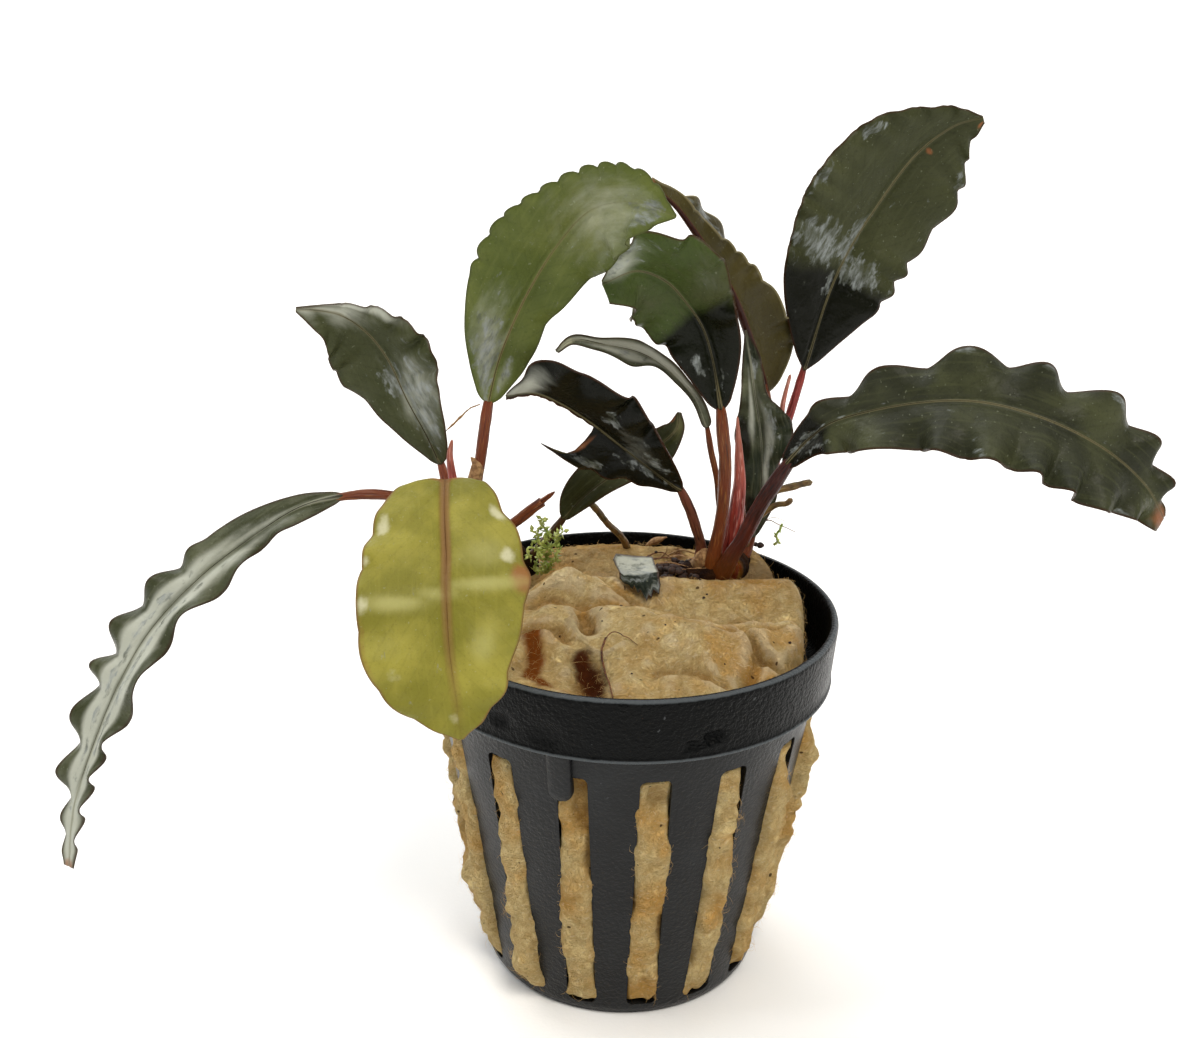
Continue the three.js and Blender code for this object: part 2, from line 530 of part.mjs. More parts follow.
const SMALL_STEMS = {
  cut_stalk: {
    points: [[-17.2, 3.6, 55], [-15.2, 2.4, 56.9], [-12.4, 2, 59.4], [-9.5, 2, 61.8]],
    radius: 0.65,
    tone: 0x6b4030,
  },
  arching_root: {
    points: [[0.3, 19.4, 45.6], [-0.4, 18.4, 48.6], [-1.4, 16.8, 50.9], [-2.8, 14, 53.3],
      [-5.2, 10.6, 57.5], [-7.1, 8.9, 58.7], [-9, 7.5, 58.8]],
    radius: 0.5,
    tone: 0x6e6a35,
  },
  root_stub_right: {
    points: [[16, 14.5, 50.3], [19, 12, 56], [20.6, 9.5, 60.4], [23, 8.6, 62.1]],
    radius: 0.45,
    tone: 0x8a5a30,
  },
  root_curl_right: {
    points: [[16.1, 10.6, 55.8], [18.2, 9, 58.3], [19.7, 8, 59.1], [20.3, 7.6, 59.9]],
    radius: 0.4,
    tone: 0x6e6a35,
  },
};

// A torn scrap of old leaf draped over the wool in front of the right shoot
const SCRAP = {
  stations: [[-2.4, 3.4, 51.7, 1, 0.6, 0], [-1.2, 3, 51.9, 4.5, 1.6, 0], [0.8, 2.6, 51.8, 4.8, 2.2, 0],
    [2.6, 2.4, 51.6, 4.6, 2.6, 0], [3.9, 2.8, 51.5, 2.5, 1.5, 0], [4.4, 3.2, 51.5, 0.5, 0.4, 0]],
  folds: [70, 10],
  upper: -1,
  rows: 8,
};

const plastic = new THREE.MeshStandardMaterial({ color: 0x1b1c1e, roughness: 0.45, metalness: 0 });
const wool = new THREE.MeshStandardMaterial({ color: 0xb3935c, roughness: 1, metalness: 0 });
const bark = new THREE.MeshStandardMaterial({ color: 0x5b3323, roughness: 0.6, metalness: 0 });
const leafFinish = (tone) => new THREE.MeshStandardMaterial({ color: tone, roughness: 0.35, metalness: 0 });

function shoot(name, rhizome, room, leaves) {
  const group = new THREE.Group();
  group.add(meshOf(name, rhizome, bark));
  for (const [leafName, { tone, ...form }] of Object.entries(leaves)) {
    let solid = leaf(form).subtract(room);
    if (leafName === 'leaf_notched') solid = notched(solid);
    group.add(meshOf(leafName, solid, leafFinish(tone)));
  }
  return group;
}

function smallPieces() {
  const group = new THREE.Group();
  const rooms = rightRoom.add(leftRoom);
  for (const [name, { points, radius, tip, tone }] of Object.entries(BUDS)) {
    group.add(meshOf(name, taperedStem(points, radius, tip).subtract(rooms), leafFinish(tone)));
  }
  for (const [name, { points, radius, tone }] of Object.entries(SMALL_STEMS)) {
    group.add(meshOf(name, stem(points, radius, { sides: 6, steps: 6 }).subtract(rooms), leafFinish(tone)));
  }
  group.add(meshOf('leaf_scrap', blade(SCRAP), leafFinish(0x39402c)));
  return group;
}

function pottedWool() {
  const fills = [];
  for (let i = 0; i < SLOT_COUNT; i++) fills.push(slotFill(i));
  const sunk = [rightRoom, leftRoom];
  sunk.push(stem(SMALL_STEMS.arching_root.points, SMALL_STEMS.arching_root.radius + GAP, {}));
  const whole = woolCore().add(joined(fills)).subtract(joined(sunk));
  const group = new THREE.Group();
  group.add(meshOf('wool_front', whole.intersect(frontRoom(-GAP / 2)), wool));
  group.add(meshOf('wool_back', whole.subtract(frontRoom(GAP / 2)), wool));
  return group;
}

const potted = new THREE.Group();
potted.add(meshOf('pot', pot(), plastic));
potted.add(pottedWool());
potted.add(shoot('rhizome_right', rightRhizome, rightRoom, RIGHT_LEAVES));
potted.add(shoot('rhizome_left', leftRhizome, leftRoom, LEFT_LEAVES));
potted.add(smallPieces());

export default potted;
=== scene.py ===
"""A dwarf aquarium plant in its black nursery pot: wavy leaves, rhizomes, rock wool and roots.

Sizes are in millimetres until Shell.piece turns them into metres. Only the settings, the floor
and the camera are in metres. +Z is up, -Y is the front, and the origin is the middle of the pot's
base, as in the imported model.
"""

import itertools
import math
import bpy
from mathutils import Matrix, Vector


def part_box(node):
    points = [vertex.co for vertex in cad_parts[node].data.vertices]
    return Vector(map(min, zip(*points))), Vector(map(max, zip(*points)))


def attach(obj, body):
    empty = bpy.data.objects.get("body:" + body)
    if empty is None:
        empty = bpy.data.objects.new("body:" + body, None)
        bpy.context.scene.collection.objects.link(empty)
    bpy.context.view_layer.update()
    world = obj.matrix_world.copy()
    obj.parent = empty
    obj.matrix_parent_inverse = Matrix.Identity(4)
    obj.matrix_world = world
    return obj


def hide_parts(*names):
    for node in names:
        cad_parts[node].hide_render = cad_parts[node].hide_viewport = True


bl_info = {
    "name": "Potted Aquarium Plant",
    "version": (1, 0, 0),
    "blender": (4, 5, 0),
    "location": "View3D > Sidebar > Plant",
    "description": "Builds a potted dwarf aquarium plant piece by piece, with its stage",
    "category": "Add Mesh",
}

import bpy
import numpy as np
from bpy.props import FloatProperty, FloatVectorProperty, IntProperty, PointerProperty
from mathutils import Matrix, Vector

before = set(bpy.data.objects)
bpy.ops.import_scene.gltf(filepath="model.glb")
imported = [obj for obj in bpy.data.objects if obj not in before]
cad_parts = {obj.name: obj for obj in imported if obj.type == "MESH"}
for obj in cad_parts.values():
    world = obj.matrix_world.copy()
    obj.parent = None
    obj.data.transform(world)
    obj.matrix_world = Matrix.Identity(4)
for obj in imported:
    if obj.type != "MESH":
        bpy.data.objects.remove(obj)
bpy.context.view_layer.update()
MM = 0.001
BODY = "root"
SEED = 41


def frame_radius(node):
    """The frame node's half width, in metres."""
    low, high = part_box(node)
    return (high.x - low.x) / 2


def srgb(code):
    """A hex colour such as #1b1c1e as linear red, green and blue."""
    levels = [int(code[i:i + 2], 16) / 255 for i in (1, 3, 5)]
    return tuple(v / 12.92 if v <= 0.04045 else ((v + 0.055) / 1.055) ** 2.4 for v in levels)


def length_prop(name, description, default_mm):
    """A length that a user may change. Its default is given in millimetres."""
    return FloatProperty(name=name, description=description, default=default_mm * MM, min=0,
                         unit="LENGTH", precision=4)


def colour_prop(name, description, code):
    """A colour that a user may change. Its default is given in hex."""
    return FloatVectorProperty(name=name, description=description, default=srgb(code), size=3,
                               subtype="COLOR", min=0, max=1)


class PotSizes(bpy.types.PropertyGroup):
    """Sizes of the slotted net pot"""
    rim_radius: FloatProperty(name="Rim radius", description="Outer radius of the collar's rim",
                              default=frame_radius("pot"), min=0.005, unit="LENGTH", precision=4)
    height: length_prop("Height", "From the base to the rim", 48)
    foot_radius: length_prop("Foot radius", "Outer radius of the base", 17.5)
    shoulder_radius: length_prop("Shoulder radius", "Outer radius just under the collar", 23.8)
    collar_foot_radius: length_prop("Collar foot radius", "Radius of the collar's lower edge", 25.4)
    collar_bottom: length_prop("Collar bottom", "Height of the collar's lower edge", 40)
    wall: length_prop("Wall", "Thickness of the wall and of the floor", 1)
    slot_width: length_prop("Slot width", "Width of each slot down the side", 3.7)
    slot_bottom: length_prop("Slot bottom", "Height where the slots start", 1.8)
    slot_top: length_prop("Slot top", "Height where the slots end", 36.5)
    slot_count: IntProperty(name="Slots", description="Slots around the side", default=15, min=3)


class WoolSizes(bpy.types.PropertyGroup):
    """Sizes of the rock wool"""
    top: length_prop("Top", "Height of the wool's flat parts", 46.8)
    front_radius: length_prop("Front radius", "Reach of the wool where it fills the rim", 24.2)
    back_radius: length_prop("Back radius", "Reach of the wool where it stands off the rim", 21.8)
    fibre_radius: length_prop("Fibre radius", "Radius of the loose fibres", 0.018)
    fibre_count: IntProperty(name="Fibres", description="Loose fibres on the wool", default=7000,
                             min=0)


class LeafSizes(bpy.types.PropertyGroup):
    """Sizes that all leaves share"""
    half_thickness: length_prop("Half thickness", "Half of the blade's thickness", 0.24)
    row_step: length_prop("Row step", "Mesh step along each blade", 0.3)
    ruffle: FloatProperty(name="Ruffle", description="Share of the waves' height at the margins",
                          default=1, min=0, max=2, subtype="FACTOR")


class PlantColours(bpy.types.PropertyGroup):
    """Colours of the plant and its pot"""
    pot: colour_prop("Pot", "Black moulded plastic", "#0b0c0d")
    wool: colour_prop("Wool", "Clean rock wool", "#fee8aa")
    stain: colour_prop("Stain", "Brown stains in the wool", "#8a4a14")
    dark_leaf: colour_prop("Dark leaf", "Upper side of an old leaf", "#3a3d25")
    silver_leaf: colour_prop("Silver leaf", "Upper side of a silvery leaf", "#5d5f4a")
    olive_leaf: colour_prop("Olive leaf", "Underside of the folded leaf", "#363014")
    green_leaf: colour_prop("Green leaf", "Upper side of the fresh green leaf", "#4e5827")
    yellow_leaf: colour_prop("Yellow leaf", "Upper side of the fading leaf", "#77732a")
    young_leaf: colour_prop("Young leaf", "Rolled young leaf", "#a24238")
    stalk: colour_prop("Stalk", "Red-brown leaf stalk", "#6a3515")
    rhizome: colour_prop("Rhizome", "Old creeping stem", "#36200f")
    root: colour_prop("Root", "Bare root", "#7a5a30")
    moss: colour_prop("Moss", "Fresh moss sprig", "#c3cc74")


class PlantSettings(bpy.types.PropertyGroup):
    """Everything a user may change"""
    pot: PointerProperty(type=PotSizes)
    wool: PointerProperty(type=WoolSizes)
    leaf: PointerProperty(type=LeafSizes)
    colours: PointerProperty(type=PlantColours)


def in_mm(group, *names):
    """Lengths of a settings group, in millimetres."""
    return [getattr(group, name) / MM for name in names]


# Curves, noise and other sums

def smooth(x, low, high):
    """A smooth step, from 0 at low to 1 at high."""
    share = np.clip((np.asarray(x, float) - low) / (high - low), 0, 1)
    return share * share * (3 - 2 * share)


def mix(a, b, share):
    """The place that lies that share of the way from a to b."""
    return a + (b - a) * share


def curve(points, t):
    """Places at shares t of a smooth curve through the points."""
    points = np.asarray(points, float)
    p = np.vstack([2 * points[0] - points[1], points, 2 * points[-1] - points[-2]])
    place = np.clip(t, 0, 1) * (len(points) - 1)
    i = np.minimum(place.astype(int), len(points) - 2)
    w = (place - i)[:, None]
    a, b, c, d = p[i], p[i + 1], p[i + 2], p[i + 3]
    bend = (2 * a - 5 * b + 4 * c - d) * w ** 2 + (3 * b - a - 3 * c + d) * w ** 3
    return 0.5 * (2 * b + (c - a) * w + bend)


def unit(v):
    """The same directions with a length of 1."""
    return v / np.maximum(np.linalg.norm(v, axis=-1, keepdims=True), 1e-12)


def even_shares(points, step):
    """Shares of a curve that stand about one step apart along it, and how far along each is."""
    t = np.linspace(0, 1, 400)
    place = curve(points, t)
    run = np.concatenate([[0], np.cumsum(np.linalg.norm(np.diff(place, axis=0), axis=1))])
    count = max(int(round(run[-1] / step)), 3) + 1
    even = np.linspace(0, run[-1], count)
    return np.interp(even, run, t), even


def noise(points, size, seed):
    """Smooth seeded noise from -1 to 1, with features of that size."""
    lattice = np.random.default_rng(seed).uniform(-1, 1, (32, 32, 32))
    place = np.asarray(points, float) / size + 512
    cell = np.floor(place).astype(int)
    f = place - cell
    f = f * f * (3 - 2 * f)
    total = 0
    for corner in itertools.product((0, 1), repeat=3):
        weight = np.prod(np.where(corner, f, 1 - f), axis=-1)
        index = (cell + corner) % 32
        total = total + weight * lattice[index[..., 0], index[..., 1], index[..., 2]]
    return total


def rough_noise(points, size, seed):
    """Noise of three sizes together, each half as large and half as strong as the last."""
    return sum(noise(points, size / 2 ** i, seed + i) / 2 ** i for i in range(3))


def grid_faces(rows, columns, closed=False):
    """Quads between rows of points that are numbered row by row."""
    r = np.arange(rows - 1)[:, None]
    c = np.arange(columns if closed else columns - 1)[None, :]
    n = (c + 1) % columns
    corners = [r * columns + c, r * columns + n, (r + 1) * columns + n, (r + 1) * columns + c]
    return np.stack(corners, -1).reshape(-1, 4)


def signed_volume(points, faces):
    """The volume that the faces close in. It is negative where they are inside out."""
    total = 0.0
    for face in faces:
        for k in range(1, face.shape[1] - 1):
            a, b, c = points[face[:, 0]], points[face[:, k]], points[face[:, k + 1]]
            total += np.einsum("ij,ij->i", a, np.cross(b, c)).sum()
    return total / 6


class Shell:
    """Closed skins that make one piece: points, faces with their finish, and marks on points."""

    def __init__(self):
        self.points = []
        self.faces = []
        self.finishes = []
        self.marks = {}
        self.count = 0

    def add(self, points, faces, finish=0, **marks):
        """faces is a list of face arrays. A skin that is inside out is turned round."""
        points = np.asarray(points, float).reshape(-1, 3)
        inside_out = signed_volume(points, faces) < 0
        for k, face in enumerate(faces):
            if inside_out:
                face = face[:, ::-1]
            self.faces += (face + self.count).tolist()
            chosen = finish[k] if isinstance(finish, (list, tuple)) else finish
            self.finishes += [chosen] * len(face)
        for name, values in marks.items():
            self.marks.setdefault(name, []).append((self.count, np.ravel(values)))
        self.points.append(points)
        self.count += len(points)
        return self

    def piece(self, name, materials, slot, replaces=(), sharp_degrees=None):
        """The shell as a Blender mesh object that rides on the plant's body."""
        mesh = bpy.data.meshes.new(name)
        mesh.from_pydata((np.vstack(self.points) * MM).tolist(), [], self.faces)
        for material in materials:
            mesh.materials.append(material)
        mesh.polygons.foreach_set("material_index", self.finishes)
        for mark, parts in self.marks.items():
            values = np.zeros(self.count, np.float32)
            for start, part in parts:
                values[start:start + len(part)] = part
            mesh.attributes.new(mark, "FLOAT", "POINT").data.foreach_set("value", values)
        mesh.shade_smooth()
        if sharp_degrees:
            mesh.set_sharp_from_angle(angle=math.radians(sharp_degrees))
        mesh.update()
        made = bpy.data.objects.new(name, mesh)
        bpy.context.scene.collection.objects.link(made)
        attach(made, BODY)
        if replaces:
            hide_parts(*replaces)
        return made


# Round stems

def carried_frames(route, first_normal):
    """Two directions across a route at each of its points, carried along without a twist."""
    along = unit(np.gradient(route, axis=0))
    normals = [unit(first_normal - along[0] * (first_normal @ along[0]))]
    for way in along[1:]:
        last = normals[-1]
        normals.append(unit(last - way * (last @ way)))
    normals = np.array(normals)
    return normals, np.cross(along, normals)


# How far round a stem its groove reaches, in radians.
GROOVE_REACH = 0.45


def tube(route, radii, sides=14, normal=(0.3, -1, 0.2), groove=0, lumps=0, seed=1):
    """A closed round stem. Returns points, faces and marks: run_mm, side_mm, face_mm and along."""
    route = np.asarray(route, float)
    radii = np.broadcast_to(radii, len(route)).astype(float)
    across, over = carried_frames(route, np.asarray(normal, float))
    turn = np.linspace(0, 2 * np.pi, sides, endpoint=False)
    away = np.abs((turn + np.pi) % (2 * np.pi) - np.pi)
    shape = 1 - groove * np.exp(-(away / GROOVE_REACH) ** 2)
    way = across[:, None] * np.cos(turn)[None, :, None] + over[:, None] * np.sin(turn)[None, :, None]
    reach = radii[:, None] * shape[None]
    points = route[:, None] + way * reach[..., None]
    if lumps:
        bump = rough_noise(points, max(radii.max(), 0.3) * 1.6, seed)
        points = points + way * (bump * lumps)[..., None]
    run = np.concatenate([[0], np.cumsum(np.linalg.norm(np.diff(route, axis=0), axis=1))])
    rows = len(route)
    caps = [np.arange(sides)[None, ::-1], (np.arange(sides) + (rows - 1) * sides)[None]]
    marks = {
        "run_mm": np.repeat(run, sides),
        "side_mm": (reach * np.cos(turn)).ravel(),
        "face_mm": (reach * np.sin(turn)).ravel(),
        "along": np.repeat(run / run[-1], sides),
    }
    return points.reshape(-1, 3), [grid_faces(rows, sides, True), *caps], marks


def rounded_ends(radii, run, radius):
    """Radii drawn in to round off both ends of a stem."""
    for distance in (run, run[-1] - run):
        near = np.clip(distance / radius, 0, 1)
        radii = radii * np.sqrt(np.clip(1 - (1 - near) ** 2, 0.02, 1))
    return radii


# Leaves. Node is the solid that a leaf stands in for, and tone is its look. Each station of a
# midrib is [x, y, z, left half width, right half width, roll], base first. A roll turns the right
# margin back. Folds are in degrees towards the upper face. Each margin is (shares of the blade's
# length where it is notched, depth, wave height, cusp). Patches stand under their mark, each as
# (share along, share across, reach along, reach across, strength). Behind is the way to the back
# of a blade, if it isn't +Y. Upper is -1 where the upper side is turned away. A bite draws the left
# margin in, from start to end, to the half width left, and its spike is the corner that stands out
# beside it: (share along, reach along, length).

# Of the patches, deep ones are painted near-black as the dark reflection of glossy zones that face
# away from the light, sheen ones are painted sheen, and the patches of wet reflection are glossy with
# painted silvery reflections. Warm, pale and band patches are the leaves' own tones, except the band
# at the green leaf's top, which is painted light.
NO_MARGIN = ((), 0, 0, 0)

RIGHT_LEAVES = {
    "upper_right_leaf": dict(
        node="leaf_upper_right", tone="dark_leaf", stalk_radius=0.55,
        stalk_colours=("#8c3430", "#4a1618", "#c26a5c"),
        stalk=[[15.1, 17.2, 48.6], [15.9, 18.2, 53], [17.3, 18.4, 58.4], [19.5, 17.6, 64.6],
               [20.8, 17, 70.1]],
        stations=[[21.8, 17, 74.1, 0.6, 0.6, 10], [24.1, 18, 83.1, 6.4, 6.3, 10],
                  [26.3, 19, 88.7, 8.8, 7.7, 12], [29.3, 20, 93.9, 10.3, 8.1, 14],
                  [33.7, 20, 100.7, 8.7, 8.2, 16], [37.9, 19, 104.6, 3.7, 4.7, 18],
                  [41.5, 18, 106, 0.2, 0.8, 20]],
        folds=(10, 10),
        margins=(((0.28, 0.36, 0.42, 0.5, 0.565, 0.64, 0.7, 0.78, 0.86, 0.95), 0.5, 0.4, 0.7),
                 ((0.22, 0.33, 0.43, 0.55, 0.69, 0.8, 0.91), 0.7, 0.5, 0.6)),
        patches=dict(
            deep=[(0, 0, 0.26, 2, 1.3)],
            film=[(0.325, -0.5, 0.07, 0.45, 0.75), (0.285, 0.35, 0.06, 0.4, 0.75),
                  (0.38, -0.05, 0.1, 0.12, 0.8), (0.22, -0.1, 0.06, 0.12, 0.45),
                  (0.66, -0.85, 0.04, 0.1, 0.6), (0.5, -0.93, 0.05, 0.08, 0.6),
                  (0.74, 0.85, 0.04, 0.1, 0.55)],
            warm=[(0.72, 0.12, 0.012, 0.08, 1), (0.98, 0.6, 0.02, 0.2, 1)]),
    ),
    "long_right_leaf": dict(
        node="leaf_long_right", tone="dark_leaf", stalk_radius=0.95, colour="#2c2e20",
        stalk_colours=("#351009", "#160504", "#5c2a1a"),
        stalk=[[11.5, 4.8, 50.6], [12.4, 3.4, 52.9], [13.8, 2, 56.3], [15.3, 1, 60.3],
               [16.7, 0, 63.6]],
        stations=[[18.1, -1, 67, 0.9, 0.8, -30], [20.8, -3, 71.2, 2.1, 2.3, -36],
                  [23.8, -5, 74.1, 2.9, 4.2, -40], [31, -9, 77.3, 4.4, 5.6, -42],
                  [37.7, -12, 78.5, 5.6, 7.2, -42], [44.9, -13, 77, 4.9, 7.4, -40],
                  [51.6, -13, 73.8, 5.1, 7.3, -35], [56.8, -12, 69.6, 3, 4.6, -30],
                  [59.9, -11, 65.3, 0.4, 1.9, -25]],
        folds=(14, 8),
        margins=(((0.27, 0.4, 0.54, 0.65, 0.78, 0.87, 0.96), 1.5, 1.5, 0.35),
                 ((0.24, 0.39, 0.49, 0.58, 0.66, 0.73, 0.84, 0.94), 1.1, 1.4, 0.35)),
        patches=dict(
            deep=[(0.02, 0, 0.17, 2, 1.3)],
            film=[(0.09, -0.3, 0.06, 0.25, 0.45), (0.13, 0.6, 0.09, 0.15, 0.45),
                  (0.1, 0.15, 0.1, 0.12, 0.45), (0.24, -0.12, 0.12, 0.05, 0.4),
                  (0.47, -0.93, 0.02, 0.08, 0.6), (0.6, -0.93, 0.015, 0.08, 0.6),
                  (0.72, -0.94, 0.02, 0.07, 0.6), (0.52, 0.93, 0.015, 0.08, 0.6),
                  (0.85, 0.93, 0.02, 0.08, 0.6)],
            sheen=[(0.1, 0.3, 0.08, 0.3, 0.25)],
            warm=[(1, 0, 0.06, 1, 1)]),
    ),
    "broad_centre_leaf": dict(
        node="leaf_centre_broad", tone="dark_leaf", stalk_radius=0.8, colour="#404d24",
        stalk=[[10.4, 5.3, 50.6], [10.7, 4.2, 54], [11.3, 3, 59.8], [11.3, 2, 66.2],
               [10.8, 2, 70.1]],
        stations=[[10.5, 2, 72.8, 0.9, 0.9, 0], [9.3, 3, 78.7, 4, 3.5, -4],
                  [8, 3, 82.6, 5.1, 4.6, -8], [6, 2, 85.7, 6, 5.9, -10],
                  [3.4, 0, 88.7, 6, 7.2, -10], [-0.1, -3, 90.4, 5.3, 4.8, -8],
                  [-3.8, -6, 89.4, 2.4, 0.4, 0]],
        folds=(14, 14),
        margins=(((0.32, 0.52, 0.7, 0.86), 0.4, 0.5, 0.3),
                 ((0.43, 0.6, 0.73, 0.84, 0.94), 0.5, 1, 0.1)),
        patches=dict(
            deep=[(0.1, 0, 0.34, 2, 1.3)],
            film=[(0.17, -0.5, 0.05, 0.2, 0.6), (0.1, 0.3, 0.05, 0.15, 0.45),
                  (0.9, 0.8, 0.1, 0.3, 0.5), (0.94, 0.4, 0.06, 0.5, 0.5)],
            sheen=[(0.92, 0.5, 0.08, 0.7, 0.7), (0.6, 0.6, 0.1, 0.4, 0.2)]),
    ),
    "notched_leaf": dict(
        node="leaf_notched", tone="dark_leaf", stalk_radius=0.65, colour="#1b2212",
        stalk_colours=("#5e3524", "#2c120c", "#8a5a3c"),
        stalk=[[8.9, 6, 50.3], [9, 5.2, 53.9], [8.3, 4, 56.7], [7.2, 3, 60]],
        stations=[[6.2, 2, 62.5, 0.6, 0.5, -14], [2.2, 0, 66.1, 2.9, 3.5, -18],
                  [-1.5, -1, 69.3, 5.2, 6, -20], [-5, -2, 72.3, 6.4, 7.5, -22],
                  [-8.5, -4, 75.1, 5, 6, -20], [-11.5, -5, 76.5, 3.4, 5.2, -15],
                  [-14.5, -7, 76.6, 0.3, 0.3, -10]],
        folds=(12, 12),
        margins=(((0.2, 0.33), 0.3, 0.3, 0.2), ((0.3, 0.47, 0.66, 0.86), 1.2, 0.9, 0)),
        patches=dict(
            deep=[(0.3, 0, 0.8, 2, 1.3)],
            film=[(0.17, 0.4, 0.12, 0.3, 0.42), (0.2, -0.25, 0.12, 0.2, 0.42),
                  (0.46, 0.42, 0.05, 0.2, 0.6), (0.36, -0.75, 0.05, 0.15, 0.6)],
            sheen=[(0.92, 0.3, 0.12, 0.6, 0.8), (0.25, 0.3, 0.15, 0.4, 0.3)],
            warm=[(0.75, -1, 0.3, 0.3, 1.1), (0.44, -0.7, 0.012, 0.6, 0.8)]),
        bite=dict(start=0.42, end=0.47, left=0.45, spike=(0.405, 0.02, 5)),
    ),
    "silver_back_leaf": dict(
        node="leaf_back_silver", tone="silver_leaf", stalk_radius=0.42,
        stalk=[[14, 14.2, 49.2], [12.6, 14.8, 52], [11.7, 15, 55.8], [11.2, 15, 59.6],
               [10.2, 15, 63.7]],
        stations=[[9.6, 15, 66.6, 0.5, 0.9, -20], [8.3, 16, 69.9, 0.7, 1.2, -25],
                  [6, 16, 72.7, 0.8, 1.4, -28], [3.3, 16, 75, 1, 1.9, -30],
                  [0.2, 16, 76.5, 2.2, 2.8, -30], [-4.4, 15, 77.6, 1.2, 1, -20],
                  [-7.8, 14, 78.1, 0.7, 0.7, 10], [-9.8, 12, 77, 0.4, 0.3, 30]],
        folds=(20, 20),
        margins=(((0.18, 0.42, 0.68), 0.25, 0.3, 0), ((0.36, 0.72), 0.3, 0.3, 0)),
        colour="#4c5040",
        patches=dict(
            sheen=[(0.5, 0.35, 0.35, 0.45, 1.2), (0.6, -0.4, 0.2, 0.3, 0.8)],
            film=[(0.6, -0.3, 0.2, 0.3, 0.4)],
            pale=[(0.92, 0, 0.1, 1, 0.7)]),
    ),
    "silver_rising_leaf": dict(
        node="leaf_silver_rising", tone="silver_leaf", stalk_radius=0.6,
        stalk=[[14.1, 11.2, 49.4], [15.1, 11.6, 50.8]],
        stations=[[16, 12, 52.8, 0.4, 0.4, 0], [16.7, 12.5, 58, 2.2, 2, 0],
                  [16.7, 13, 63, 3.1, 2.3, 0], [16.3, 13.5, 67, 3.4, 4.4, 0],
                  [15.4, 13.8, 71.6, 1.9, 1.6, 0], [14.6, 13.8, 75.9, 1.2, 1.4, 10],
                  [13.7, 13.6, 80, 0.2, 0.2, 20]],
        folds=(14, 14),
        margins=(((0.2, 0.42, 0.6, 0.76), 0.5, 0.6, 0.3), ((0.28, 0.5, 0.62, 0.8), 0.6, 0.7, 0.4)),
        colour="#1e2416",
        patches=dict(
            deep=[(0.45, -0.8, 0.15, 0.4, 1), (0.1, -0.6, 0.1, 0.6, 0.9)],
            sheen=[(0.35, 0.3, 0.3, 0.2, 0.6), (0.62, -0.35, 0.2, 0.16, 0.55)],
            film=[(0.5, 0.4, 0.2, 0.2, 0.5), (0.82, 0.2, 0.08, 0.4, 0.6)]),
    ),
    "folded_olive_leaf": dict(
        node="leaf_twisted", tone="olive_leaf", stalk_radius=0.6, upper=-1,
        stalk=[[15.1, 18, 48.2], [15.2, 20, 51], [16.3, 20.6, 55.1], [17.5, 20.4, 62.3],
               [17.7, 19, 67.4]],
        stations=[[17.4, 18, 70.7, 0.6, 1, 0], [15.3, 16.2, 76.5, 3.2, 5.6, 10],
                  [12.4, 12, 83.7, 4.4, 4.7, 20], [9.8, 10, 88.4, 4.8, 3.4, 25],
                  [7.1, 8, 92.5, 5, 2.1, 30], [4.4, 6, 96.1, 2.6, 1.9, 35],
                  [1.2, 4, 99, 0.3, 1, 40]],
        folds=(148, 4),
        margins=(((0.3, 0.5, 0.66, 0.82), 0.5, 0.3, 0.3),
                 ((0.16, 0.22, 0.35, 0.43, 0.5, 0.58, 0.76), 0.8, 0.5, 0.6)),
        patches=dict(
            sheen=[(0.17, 0.45, 0.07, 0.4, 0.6), (0.93, 0.4, 0.08, 0.6, 0.9)],
            film=[(0.17, 0.5, 0.06, 0.3, 0.8), (0.7, -0.6, 0.2, 0.3, 0.5)],
            warm=[(1, 0, 0.03, 1, 1.2)]),
    ),
}

